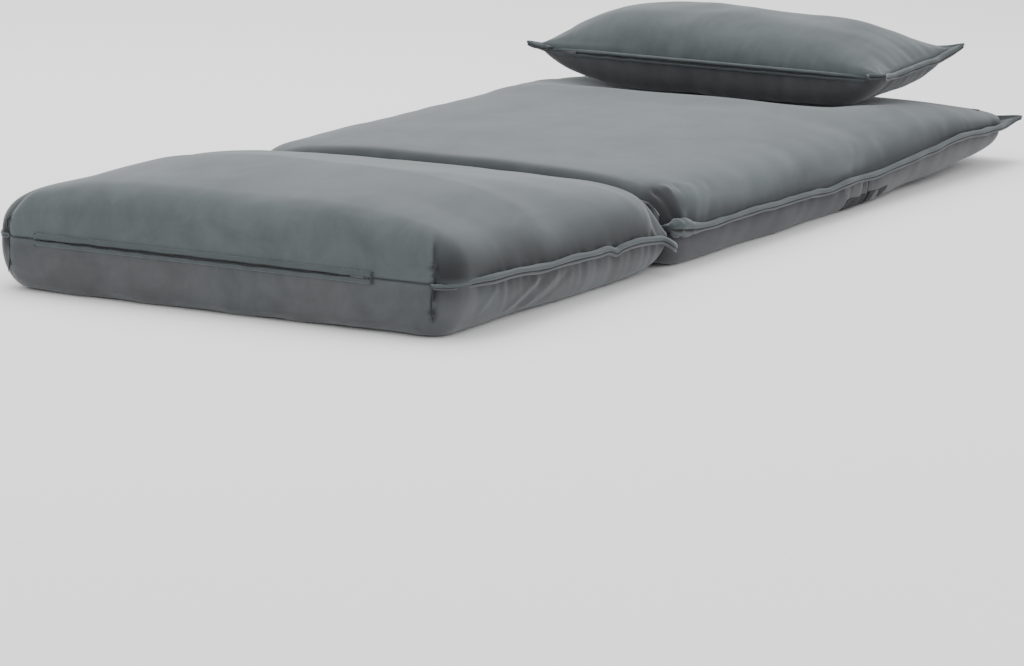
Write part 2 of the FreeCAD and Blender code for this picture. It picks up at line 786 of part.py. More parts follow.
def flange(seam, plan, body):
    """The rolled flange that stands out at the seam, inside a plan outline and outside the cushion."""
    bounds = plan.BoundBox
    half = flange_thickness / 2
    strip = seam_sheet(seam, bounds.YMin - margin, bounds.YMax + margin, -half, half)
    return strip.common(plan).cut(body)


def back_parts():
    """Frame, hinge arms, foams, sling and cover panels of the back, before it is tilted."""
    parts = {}
    inner_x = back_tube_inner_x
    side_tube = tube_y(inner_x, back_tube_start, back_frame_end)
    side_tube = side_tube.cut(rivet_holes(1, inner_x - overrun, inner_x + 2 * tube_wall))
    head_y = back_frame_end - tube_size
    parts["back_side_tube_right"] = side_tube
    parts["back_side_tube_left"] = mirrored(side_tube)
    parts["back_head_tube"] = tube_x(inner_x, head_y)
    parts["back_cross_tube"] = tube_x(inner_x, back_cross_y)
    caps = [tube_cap(inner_x, back_tube_start, -1), tube_cap(inner_x, back_frame_end, 1)]
    parts["back_tube_caps"] = Part.makeCompound(with_mirrors(caps))
    parts["back_frame_rivets"] = Part.makeCompound(with_mirrors(rivets(1, disc_in, inner_x + tube_wall)))
    parts["ratchet_arm_right"] = toothed_arm()
    parts["ratchet_arm_left"] = mirrored(toothed_arm())
    sling_half = inner_x + tube_size - sling_inset
    parts["back_sling"] = box(-sling_half, sling_half, back_cross_y, back_frame_end, sling_low, sling_high)

    gap = fit_gap + cover_thickness
    upper = mattress_core.common(back_side(gap, sling_high + fit_gap, relief_top))
    parts["back_foam_top"] = upper.cut(with_mirrors(back_hinge_room()))
    lower = mattress_core.common(back_side(gap, 0.0, sling_low - fit_gap))
    room = back_hinge_room()
    room.append(grown(inner_x, inner_x + tube_size, back_tube_start - cap_flange, back_frame_end + cap_flange,
                      tube_low, tube_high, fit_gap))
    room = with_mirrors(room)
    for start in (head_y, back_cross_y):
        room.append(grown(-inner_x, inner_x, start, start + tube_size, tube_low, tube_high, fit_gap))
    parts["back_foam_base"] = lower.cut(room)

    skin = mattress_skin.common(back_side(0.0, -overrun, relief_top))
    end = fold_y + back_length + margin
    over = seam_sheet(mattress_seam, fold_y - margin, end, flange_thickness / 2, rise)
    parts["back_cover_top"] = skin.common(over)
    under = skin.cut(over)
    base = box(-far, far, -far, sole_end_y, -overrun, cover_thickness)
    fold_panel = mattress_inner.common(box(-far, far, back_face_y, back_face_y + cover_thickness,
                                           cover_thickness, axis_z))
    fold_panel = fold_panel.cut(with_mirrors(back_hinge_room()))
    sole = mattress_outer.common(back_side(0.0, -overrun, cover_thickness)).common(base)
    parts["back_base_panel"] = Part.makeCompound(sole.Solids + fold_panel.Solids)
    under = under.cut(base)
    patches = box(-far, far, fold_y + patch_from_fold, fold_y + patch_length, 0.0, patch_height)
    parts["back_border"] = under.cut(patches)
    parts["back_corner_patches"] = under.common(patches)
    half = overall_width / 2
    tip = fold_y + back_length
    corners = [Vec(half, tip, -far), Vec(half, back_face_y, -far)]
    corners = corners + [Vec(-half, back_face_y, -far), Vec(-half, tip, -far)]
    sides = [Part.LineSegment(corners[i], corners[i + 1]).toShape() for i in range(3)]
    sides.append(Part.Arc(corners[3], Vec(0, tip - head_pull_in, -far), corners[0]).toShape())
    plan = Part.Face(Part.Wire(sides)).extrude(Vec(0, 0, 2 * far))
    parts["back_piping"] = flange(mattress_seam, plan, mattress_outer)
    return parts


def fold_parts():
    """The soft filling and the cloth that bridge the relief over the hinge line."""
    wedge = relief_wedge(2 * fit_gap)
    return {
        "fold_foam_wedge": mattress_core.common(wedge).cut(with_mirrors(back_hinge_room()[:1])),
        "fold_cover_strip": mattress_skin.common(wedge),
    }


def foot_parts():
    """Filling, cover panels, flange and zip of the foot cushion, and the cloth hinge at the crease."""
    parts = {"foot_filling": foot_form(cover_thickness + fit_gap)}
    over = seam_sheet(foot_seam, foot_end_y - margin, foot_near_y + margin, flange_thickness / 2, rise)
    half = end_panel_half
    outside = foot_end_y - overrun
    panel_zone = box(-half, half, outside, foot_end_y + cover_thickness, end_panel_low, end_panel_high)
    slot_half = foot_placket_length / 2 - bar_tack_length
    centre = foot_placket_centre
    slot = box(centre - slot_half, centre + slot_half, outside, foot_end_y + cover_thickness + overrun,
               foot_seam_end - zip_slot_height / 2, foot_seam_end + zip_slot_height / 2)
    upper = foot_skin.common(over)
    parts["foot_cover_top"] = upper.cut(panel_zone)
    under = foot_skin.cut(over)
    base = box(-far, far, -far, far, -overrun, cover_thickness)
    parts["foot_base_panel"] = foot_outer.common(base)
    parts["foot_border"] = under.cut([base, panel_zone])
    parts["foot_end_panel"] = foot_skin.common(panel_zone).cut(slot)
    width = overall_width / 2
    start = foot_end_y + flange_reach
    plan = box(-width, width, start, foot_near_y - fit_gap, -far, far)
    corners = [edge for edge in plan.Edges
               if edge.BoundBox.YMax < start + overrun and edge.BoundBox.XLength < overrun]
    plan = plan.makeFillet(foot_corner, corners)
    parts["foot_piping"] = flange(foot_seam, plan, foot_outer)
    place = Vec(foot_placket_centre, foot_end_y, foot_seam_end)
    zipped = {"foot_placket": placket(foot_placket_length)}
    for name, shape in zip_parts(foot_placket_length).items():
        zipped["foot_zip_" + name] = mirrored(shape)
    for name, shape in zipped.items():
        shape.translate(place)
        parts[name] = shape
    near = foot_near_y
    end = crease_y + crease_gap / 2
    level = crease_strip_height
    thick = crease_strip_thickness
    outline = [(near, level), (crease_y, level - crease_gap), (end, level)]
    outline = outline + [(end, level - thick), (crease_y, level - crease_gap - thick), (near, level - thick)]
    parts["crease_hinge_strip"] = prism_x(outline, -crease_strip_half, crease_strip_half)
    return parts


pillow_y = fold_y + pillow_centre_from_fold
pillow_half_depth = pillow_depth / 2 - pillow_flange
pillow_half_length = pillow_length / 2 - pillow_flange
pillow_front_y = pillow_y - pillow_half_depth + pillow_front_cut


def sideways(across, along, height):
    """Places a cross-section of the pillow, whose long way is X."""
    return Vec(pillow_centre_x + along, pillow_y + across, height)


def pillow_form(inset):
    """The pillow: a high crown over a flat underside, thin at its seam, with a flat strip for the zip."""
    stations = []
    for d in spaced(2 * pillow_half_length, end_steps, 4):
        near = min(d, 2 * pillow_half_length - d)
        half = pillow_half_depth - eased(near, pillow_corner_reach, pillow_corner)
        low = pillow_rest + eased(near, pillow_low_reach, pillow_down - pillow_edge_half)
        top = pillow_seam + pillow_up - eased(near, pillow_top_reach, pillow_up - pillow_edge_half)
        stations.append((d - pillow_half_length, half, low, pillow_seam, top, pillow_low_round))
    form = stuffed(sideways, stations, inset)
    return form.common(box(-far, far, pillow_front_y + inset, far, pillow_rest + inset, far))


def pillow_parts():
    """Filling, two cover panels, flange and zip of the pillow, before the back is tilted."""
    outer = pillow_form(0.0).Solids[0]
    inner = pillow_form(cover_thickness).Solids[0]
    skin = hollow(outer, inner)
    parts = {"pillow_filling": pillow_form(cover_thickness + fit_gap)}
    slot_half = pillow_placket_length / 2 - bar_tack_length
    centre = pillow_centre_x
    slot = box(centre - slot_half, centre + slot_half, pillow_front_y - overrun,
               pillow_front_y + cover_thickness + overrun,
               pillow_seam - zip_slot_height / 2, pillow_seam + zip_slot_height / 2)
    skin = skin.cut(slot)
    over = box(-far, far, -far, far, pillow_seam + flange_thickness / 2, far)
    parts["pillow_cover_top"] = skin.common(over)
    parts["pillow_cover_bottom"] = skin.cut(over)
    x = pillow_length / 2
    y = pillow_depth / 2
    pull = pillow_pull_in
    low = pillow_seam - flange_thickness / 2
    corners = [Vec(x, y, 0), Vec(-x, y, 0), Vec(-x, -y, 0), Vec(x, -y, 0)]
    middles = [Vec(0, y - pull, 0), Vec(pull - x, 0, 0), Vec(0, pull - y, 0), Vec(x - pull, 0, 0)]
    sides = [Part.Arc(corners[i], middles[i], corners[(i + 1) % 4]).toShape() for i in range(4)]
    plan = Part.Face(Part.Wire(sides))
    plan.translate(Vec(centre, pillow_y, low))
    rim = plan.extrude(Vec(0, 0, flange_thickness)).cut(outer)
    clear_half = pillow_placket_length / 2 + bar_tack_length + fit_gap
    rim = rim.cut(box(centre - clear_half, centre + clear_half, -far, pillow_front_y, -far, far))
    parts["pillow_piping"] = rim
    place = Vec(centre, pillow_front_y, pillow_seam)
    zipped = {"pillow_placket": placket(pillow_placket_length)}
    for name, shape in zip_parts(pillow_placket_length).items():
        zipped["pillow_zip_" + name] = shape
    for name, shape in zipped.items():
        shape.translate(place)
        parts[name] = shape
    return parts


def write(parts):
    """Checks each piece and writes it to its own file."""
    for name, shape in parts.items():
        solids = [solid for solid in shape.Solids if solid.Volume > smallest_solid]
        kept = Part.makeCompound(solids)
        if not solids or not all(solid.isValid() for solid in solids):
            print("check", name, len(shape.Solids), shape.isValid())
        kept.exportStep("parts/" + name + ".step")
        print(name, len(solids), round(kept.Volume / 1000, 1))


# Whole cushions, from which the panels and the fillings are cut
foot_outer = foot_form(0.0).Solids[0]
foot_skin = hollow(foot_outer, foot_form(cover_thickness).Solids[0])
mattress_outer = mattress_form(0.0).Solids[0]
mattress_inner = mattress_form(cover_thickness).Solids[0]
mattress_skin = hollow(mattress_outer, mattress_inner)
mattress_core = mattress_form(cover_thickness + fit_gap).Solids[0]
pillow_rest = mattress_outer.optimalBoundingBox(True, False).ZMax + fit_gap
pillow_seam = pillow_rest + pillow_down

os.makedirs("parts", exist_ok=True)
write(foot_parts())
write(seat_parts())
write(fold_parts())
write({name: tilted(shape) for name, shape in back_parts().items()})
write({name: tilted(shape) for name, shape in pillow_parts().items()})
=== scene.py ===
"""Looks of a convertible floor chair bed: padded velvet cushions, rolled flanges, zips and studio."""
import json
import math

import bmesh
import bpy
import numpy as np
from bpy.props import FloatProperty, FloatVectorProperty, PointerProperty
from mathutils import Matrix, Vector


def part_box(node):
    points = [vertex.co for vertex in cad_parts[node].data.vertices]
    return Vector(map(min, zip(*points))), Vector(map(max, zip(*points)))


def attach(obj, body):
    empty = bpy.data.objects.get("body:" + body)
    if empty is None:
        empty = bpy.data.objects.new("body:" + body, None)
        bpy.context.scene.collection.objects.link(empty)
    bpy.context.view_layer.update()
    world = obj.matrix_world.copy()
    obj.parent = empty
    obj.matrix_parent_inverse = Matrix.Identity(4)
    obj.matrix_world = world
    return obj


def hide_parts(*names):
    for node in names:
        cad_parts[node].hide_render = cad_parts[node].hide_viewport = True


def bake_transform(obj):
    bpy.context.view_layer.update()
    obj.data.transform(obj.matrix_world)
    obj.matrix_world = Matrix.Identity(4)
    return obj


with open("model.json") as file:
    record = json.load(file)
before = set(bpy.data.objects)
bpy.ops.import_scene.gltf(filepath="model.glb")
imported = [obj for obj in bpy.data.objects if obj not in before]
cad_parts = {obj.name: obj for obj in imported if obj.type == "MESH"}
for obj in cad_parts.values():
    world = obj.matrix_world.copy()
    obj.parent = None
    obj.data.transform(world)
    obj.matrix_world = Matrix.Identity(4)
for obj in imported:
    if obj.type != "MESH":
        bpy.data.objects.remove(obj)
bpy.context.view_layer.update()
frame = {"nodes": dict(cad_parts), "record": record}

bl_info = {
    "name": "Convertible chair bed",
    "version": (1, 0, 0),
    "blender": (4, 5, 0),
    "location": "View3D > Sidebar > Chair bed",
    "description": "Builds the visible cushions, flanges and zips of a fold-out floor chair bed",
    "category": "Add Mesh",
}

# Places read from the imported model, in metres
JOINTS = {joint["name"]: joint for joint in frame["record"]["behaviour"]["joints"]}
CREASE_Y = JOINTS["foot_fold"]["pos_m"][1]
FOLD_Y, FOLD_Z = JOINTS["back_recline"]["pos_m"][1:]
LIFT_AXIS = JOINTS["pillow_lift"]["axis"]
TILT = math.atan2(-LIFT_AXIS[1], LIFT_AXIS[2])
BODY_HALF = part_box("seat_cover_top")[1][0]
FLANGE_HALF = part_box("seat_piping")[1][0]
FOOT_FACE_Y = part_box("foot_cover_top")[0][1]
FOOT_NEAR_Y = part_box("foot_cover_top")[1][1]
FOOT_BODY = FOOT_NEAR_Y - FOOT_FACE_Y
PILLOW_LOW, PILLOW_HIGH = [np.array(corner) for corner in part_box("pillow_piping")]

# Lengths of seat and back, and heights of the side seam from the zip face to the head end
SEAT_LENGTH = 0.662
BACK_LENGTH = 0.558
FLANGE_REACH = 0.012
FOOT_SEAM = 0.072
CREASE_SEAM = 0.052
FOLD_SEAM = 0.047
HEAD_SEAM = 0.050
HEAD_DROOP = 0.012
HEAD_DROOP_REACH = 0.25
MATTRESS_START = CREASE_Y + 0.003
MATTRESS_END = FOLD_Y + BACK_LENGTH - FLANGE_REACH
HEAD_TIP = FOLD_Y + BACK_LENGTH

# A rounding is how far it reaches along the cushion, and how much the form lacks at its end.
# Foot cushion: its crown, sides, belly and corner towards the crease
FOOT_COLUMNS = 220
FOOT_TOP = 0.164
FOOT_END_ROUND = (0.055, 0.028)
FOOT_END_FALL = (0.290, 0.030)
FOOT_CREASE_ROUND = (0.024, 0.030)
FOOT_CREASE_FALL = 0.052
FOOT_CREASE_FALL_REACH = 0.360
FOOT_CREASE_FALL_POWER = 1.15
FOOT_SIDE_ROUND = (0.046, 0.024)
FOOT_SIDE_CREASE_ROUND = (0.030, 0.012)
FOOT_BELLY_ROUND = (0.048, 0.022)
FOOT_BELLY_CREASE_ROUND = (0.075, 0.018)
FOOT_BELLY_SIDE = 0.046
FOOT_CORNER_TAPER = 0.15
FOOT_CORNER_REACH = 0.10

# Zip of the foot cushion, and the mouth that the face's mesh makes round it
FOOT_ZIP_X = -0.021
FOOT_ZIP_LENGTH = 0.494
FOOT_MOUTH_HALF = 0.262

# Corner darts: their place on the face, how they lean back, and how deep they and their pinch are
DART_X = 0.3125
DART_LEAN = 0.5
DART_DEPTH = 0.0046
DART_PINCH = 0.0030
DART_FAR_SHARE = 0.55

# Mattress: its crown, its sides, its belly, and its wedge at the head end
MATTRESS_COLUMNS = 190
LOWER_COLUMNS = 130
MATTRESS_TOP = 0.124
MATTRESS_FULLNESS = 4.2
MATTRESS_CREASE_ROUND = (0.030, 0.018)
MATTRESS_CREASE_FALL = (0.220, 0.004)
MATTRESS_BACK_FALL = 0.006
MATTRESS_SIDE_ROUND = (0.050, 0.020)
MATTRESS_SIDE_HEAD_ROUND = (0.060, 0.044)
MATTRESS_BELLY_ROUND = (0.075, 0.018)
MATTRESS_BELLY_SIDE = 0.024
MATTRESS_CORNER_TAPER = 0.12
MATTRESS_CORNER_REACH = 0.085
HEAD_WEDGE = 0.063
HEAD_WEDGE_REACH = 0.340
HEAD_WEDGE_POWER = 1.15
HEAD_ROUND = (0.035, 0.017)
HEAD_BELLY_REACH = 0.130
BELLY_FULLNESS = 2.2
PILLOW_DENT = 0.024

# Pillow: its place, half sizes, crown and belly measured from its seam, and the height that it rests at
PILLOW_CENTRE_X = (PILLOW_LOW[0] + PILLOW_HIGH[0]) / 2.0 + 0.014
PILLOW_FROM_FOLD = 0.351
PILLOW_HALF_X = (PILLOW_HIGH[0] - PILLOW_LOW[0]) / 2.0 - 0.005
PILLOW_HALF_Y = 0.153
PILLOW_UP = 0.064
PILLOW_LEAN = 0.13
PILLOW_DOWN = 0.054
PILLOW_BELLY = 0.060
PILLOW_REST = 0.0925
PILLOW_EAR_LIFT = 0.010
PILLOW_ZIP_HALF = 0.265
PILLOW_FLANGE = 0.013
PILLOW_PULL = 0.010
PILLOW_LIP = 0.72


def shared(values, reach, drop, power=2.0):
    """What a rounded end still lacks at a distance from it: drop at 0, following an ellipse, 0 past reach."""
    left = np.clip(1.0 - np.asarray(values, float) / reach, 0.0, 1.0)
    return drop * (1.0 - (1.0 - left ** power) ** (1.0 / power))


def smooth(values, low, high):
    """0 below low and 1 above high, with a cubic ease between."""
    t = np.clip((np.asarray(values, float) - low) / (high - low), 0.0, 1.0)
    return t * t * (3.0 - 2.0 * t)


def bell(values, middle, width):
    """A bump of height 1 at middle that falls off as a Gaussian of that width."""
    return np.exp(-((np.asarray(values, float) - middle) / width) ** 2)


def waves(points, size, seed, stretch=(1.0, 1.0, 1.0), count=22):
    """A smooth random field: a sum of sine waves of about one length in seeded random directions."""
    rng = np.random.default_rng(seed)
    way = rng.normal(size=(count, 3))
    way /= np.linalg.norm(way, axis=1)[:, None]
    length = size * rng.uniform(0.7, 1.5, count)
    phase = rng.uniform(0.0, 2.0 * math.pi, count)
    flat = points.reshape(-1, 3) / np.array(stretch)
    field = np.sin(flat @ way.T / length * (2.0 * math.pi) + phase).sum(axis=1)
    return (field / math.sqrt(count / 2.0)).reshape(points.shape[:-1])


def wander(values, size, seed, count=9):
    """A smooth random line: a sum of sines of about one length along one parameter."""
    values = np.asarray(values, float)
    rng = np.random.default_rng(seed)
    length = size * rng.uniform(0.6, 1.6, count)
    phase = rng.uniform(0.0, 2.0 * math.pi, count)
    turns = values[..., None] / length * (2.0 * math.pi) + phase
    return np.sin(turns).sum(axis=-1) / math.sqrt(count / 2.0)


def spread(start, end, fine, coarse, reach):
    """Positions from start to end, fine apart within reach of both ends and coarse apart between."""
    near = np.arange(0.0, reach, fine)
    count = max(2, int(round((end - start - 2.0 * reach) / coarse)))
    middle = np.linspace(start + reach, end - reach, count + 1)
    return np.concatenate([start + near, middle, (end - near)[::-1]])


def stroke(points, start, end, width, depth):
    """A ridge, or a valley where depth is below 0, along a straight line in space: a Gaussian of that width
    round the line, faded at both ends."""
    start = np.array(start, float)
    way = np.array(end, float) - start
    length = np.linalg.norm(way)
    way /= length
    offset = points - start
    along = offset @ way
    side = np.linalg.norm(offset - along[..., None] * way, axis=-1)
    fade = smooth(along, -0.15 * length, 0.25 * length) * (1.0 - smooth(along, 0.7 * length, 1.15 * length))
    return depth * fade * np.exp(-(side / width) ** 2)


def rubbed(points, broad, seeds, amount, floor):
    """Where the pile lies over: small waves times broad waves, counted only above a floor."""
    spots = waves(points, 0.05, seeds[0]) * waves(points, broad, seeds[1])
    return np.clip(amount * (spots - floor), 0.0, 0.3)


def grid_normals(grid, wrapped):
    """Unit normals of a grid of points, from the cross product of its two central differences."""
    if wrapped:
        around = np.roll(grid, -1, axis=1) - np.roll(grid, 1, axis=1)
    else:
        around = np.gradient(grid, axis=1)
    along = np.gradient(grid, axis=0)
    normal = np.cross(along, around)
    size = np.linalg.norm(normal, axis=-1, keepdims=True)
    return normal / np.maximum(size, 1e-12)


def grid_quads(rows, cols, wrapped, start=0):
    """Corner numbers of the faces of a grid whose rows run along and whose columns run around."""
    index = start + np.arange(rows * cols).reshape(rows, cols)
    if wrapped:
        index = np.concatenate([index, index[:, :1]], axis=1)
    a = index[:-1, :-1].ravel()
    b = index[1:, :-1].ravel()
    c = index[1:, 1:].ravel()
    d = index[:-1, 1:].ravel()
    return np.stack([a, b, c, d], axis=1)


def made(name, points, quads, slot, merge=2e-6, levels=None):
    """A closed mesh object with its doubles merged. levels holds values from 0 to 1, one for each point."""
    mesh = bpy.data.meshes.new(name)
    mesh.from_pydata(points.reshape(-1, 3).tolist(), [], quads.tolist())
    for key, values in (levels or {}).items():
        attribute = mesh.attributes.new(key, "FLOAT", "POINT")
        attribute.data.foreach_set("value", np.clip(values, 0.0, 1.0).astype(np.float32).ravel())
    work = bmesh.new()
    work.from_mesh(mesh)
    bmesh.ops.remove_doubles(work, verts=work.verts, dist=merge)
    bmesh.ops.dissolve_degenerate(work, edges=work.edges, dist=1e-7)
    bmesh.ops.recalc_face_normals(work, faces=work.faces)
    work.to_mesh(mesh)
    work.free()
    mesh.shade_smooth()
    mesh.materials.append(FINISHES[slot])
    piece = bpy.data.objects.new(name, mesh)
    bpy.context.scene.collection.objects.link(piece)
    return piece


def rings_piece(name, rings, slot, levels=None):
    """A closed piece from rings of points; the end rings are already drawn together."""
    count, around = rings.shape[:2]
    return made(name, rings, grid_quads(count, around, True), slot, 2e-6, levels)


def joined(runs):
    """Points and faces of several closed runs of rings, as one set."""
    points = []
    quads = []
    start = 0
    for rings in runs:
        count, around = rings.shape[:2]
        points.append(rings.reshape(-1, 3))
        quads.append(grid_quads(count, around, True, start))
        start += count * around
    return np.concatenate(points), np.concatenate(quads)


def rings_across(y, x, z):
    """Rings that stand across Y: each row of x and z at its own y."""
    return np.stack([x, np.repeat(y[:, None], x.shape[1], axis=1), z], axis=-1)


def lidded(y, x, z, height):
    """Rings across Y whose open curves are closed by a flat lid at a height."""
    lid = x[:, ::-1][:, 1:-1]
    level = np.repeat(height[:, None], lid.shape[1], axis=1)
    return rings_across(y, np.concatenate([x, lid], axis=1), np.concatenate([z, level], axis=1))


def raised(rings, amount):
    """Moves a closed grid along its normals by amount, times the wrinkle setting."""
    depth = amount * bpy.context.scene.chair_bed_sizes.wrinkle
    return rings + grid_normals(rings, True) * depth[..., None]


def tube_caps(rings, near_bulge, far_bulge, steps=5):
    """Closes a run of rings with domes: each end ring shrinks on a quarter circle to its middle."""
    def dome(ring, way, bulge):
        centre = ring.mean(axis=0)
        turn = np.linspace(0.0, math.pi / 2.0, steps + 1)[1:]
        shrink = np.cos(turn)[:, None, None]
        out = np.sin(turn)[:, None, None]
        return centre + (ring - centre) * shrink + way * bulge * out

    first = rings[0].mean(axis=0) - rings[1].mean(axis=0)
    last = rings[-1].mean(axis=0) - rings[-2].mean(axis=0)
    first /= np.linalg.norm(first)
    last /= np.linalg.norm(last)
    near = dome(rings[0], first, near_bulge)[::-1]
    far = dome(rings[-1], last, far_bulge)
    return np.concatenate([near, rings, far])


def flat_cap(ring, bulge=0.0, steps=14):
    """Rings that close a ring towards its middle; y moves by bulge times 1 - share to the 6th."""
    share = np.linspace(1.0, 0.0, steps + 1)[1:]
    centre = (ring.max(axis=0) + ring.min(axis=0)) / 2.0
    cap = centre + (ring - centre) * share[:, None, None]
    cap[..., 1] += bulge * (1.0 - share[:, None] ** 6)
    return cap


def flat_caps(rings, far_bulge=0.0):
    """Closes a run of rings with nearly flat ends, of which the far one may bulge out."""
    return np.concatenate([flat_cap(rings[0])[::-1], rings, flat_cap(rings[-1], far_bulge)])


def folded_ends(rings):
    """Closes a run of thin rings by folding each end ring flat onto its own middle line."""
    flat = (rings[[0, -1]] + rings[[0, -1]][:, ::-1]) / 2.0
    return np.concatenate([flat[:1], rings, flat[1:]])


def crown_curve(turn, half, seam, top, fullness):
    """Superellipse over the seam: x = half cos^(2/f), z = seam + (top - seam) sin^(2/f)."""
    cosine = np.cos(turn)[None, :]
    x = half[:, None] * np.sign(cosine) * np.abs(cosine) ** (2.0 / fullness)
    z = seam[:, None] + (top - seam)[:, None] * np.abs(np.sin(turn))[None, :] ** (2.0 / fullness)
    return x, z


def drawn_in(x, z, seam, top, share, power):
    """Draws a crown in: x shrinks by share times the point's rise from seam to top, to a power."""
    rise = np.clip((z - seam[:, None]) / (top - seam)[:, None], 0.0, 1.0)
    return x * (1.0 - share[:, None] * rise ** power)


def belly_curve(count, half, low, seam, low_round):
    """Below the seam: a quarter superellipse down each side and a flat bottom between, from -x to +x."""
    side = int(count * 0.24)
    turn = np.linspace(math.pi / 2.0, 0.0, side)[None, :]
    base = (half - low_round)[:, None]
    drop = (seam - low)[:, None]
    out = base + low_round * np.sin(turn) ** (2.0 / BELLY_FULLNESS)
    rise = low[:, None] + drop * (1.0 - np.abs(np.cos(turn)) ** (2.0 / BELLY_FULLNESS))
    flat = np.linspace(-1.0, 1.0, count - 2 * side + 2)[None, 1:-1] * base
    level = np.repeat(low[:, None], flat.shape[1], axis=1)
    x = np.concatenate([-out, flat, out[:, ::-1]], axis=1)
    z = np.concatenate([rise, level, rise[:, ::-1]], axis=1)
    return x, z


def turned(points, turn):
    """Turns points about the fold line by an angle, which may differ from point to point."""
    y = points[..., 1] - FOLD_Y
    z = points[..., 2] - FOLD_Z
    result = points.copy()
    result[..., 1] = FOLD_Y + y * np.cos(turn) - z * np.sin(turn)
    result[..., 2] = FOLD_Z + y * np.sin(turn) + z * np.cos(turn)
    return result


def laid(points, reach):
    """Turns flat points up to the back's resting angle, eased over a reach each side of the fold line."""
    return turned(points, TILT * smooth(points[..., 1], FOLD_Y - reach, FOLD_Y + reach))


def turned_back(points):
    """Turns flat points of the back up to its resting angle."""
    return turned(points, TILT)


def along(line):
    """How far each point of a line lies along it."""
    return np.concatenate([[0.0], np.cumsum(np.linalg.norm(np.diff(line, axis=0), axis=-1))])


def mattress_seam(y):
    """Height of the mattress's side seam before the back is tilted: a cosine down to the fold and up again,
    with a droop at the head end."""
    s = np.asarray(y, float) - CREASE_Y
    whole = SEAT_LENGTH + BACK_LENGTH
    near = 0.5 + 0.5 * np.cos(math.pi * np.clip(s, 0.0, SEAT_LENGTH) / SEAT_LENGTH)
    far = 0.5 - 0.5 * np.cos(math.pi * np.clip(s - SEAT_LENGTH, 0.0, BACK_LENGTH) / BACK_LENGTH)
    seat = FOLD_SEAM + (CREASE_SEAM - FOLD_SEAM) * near
    back = FOLD_SEAM + (HEAD_SEAM - FOLD_SEAM) * far - HEAD_DROOP * smooth(s, whole - HEAD_DROOP_REACH, whole)
    return np.where(s < SEAT_LENGTH, seat, back)


def foot_seam(y):
    """Height of the foot cushion's side seam, a straight fall from its end to the crease."""
    share = (np.asarray(y, float) - FOOT_FACE_Y) / FOOT_BODY
    return FOOT_SEAM + (CREASE_SEAM - FOOT_SEAM) * share


# Finishes

class Value:
    """A socket that adds Math nodes when it is used in an expression."""

    def __init__(self, finish, socket):
        self.finish = finish
        self.socket = socket

    def math(self, operation, other=None, swapped=False):
        values = [self] if other is None else [other, self] if swapped else [self, other]
        node = self.finish.node("ShaderNodeMath", {"operation": operation}, dict(enumerate(values)))
        return Value(self.finish, node.outputs[0])

    def __add__(self, other):
        return self.math("ADD", other)

    def __sub__(self, other):
        return self.math("SUBTRACT", other)

    def __rsub__(self, other):
        return self.math("SUBTRACT", other, True)

    def __mul__(self, other):
        return self.math("MULTIPLY", other)

    def __pow__(self, other):
        return self.math("POWER", other)

    __radd__ = __add__
    __rmul__ = __mul__


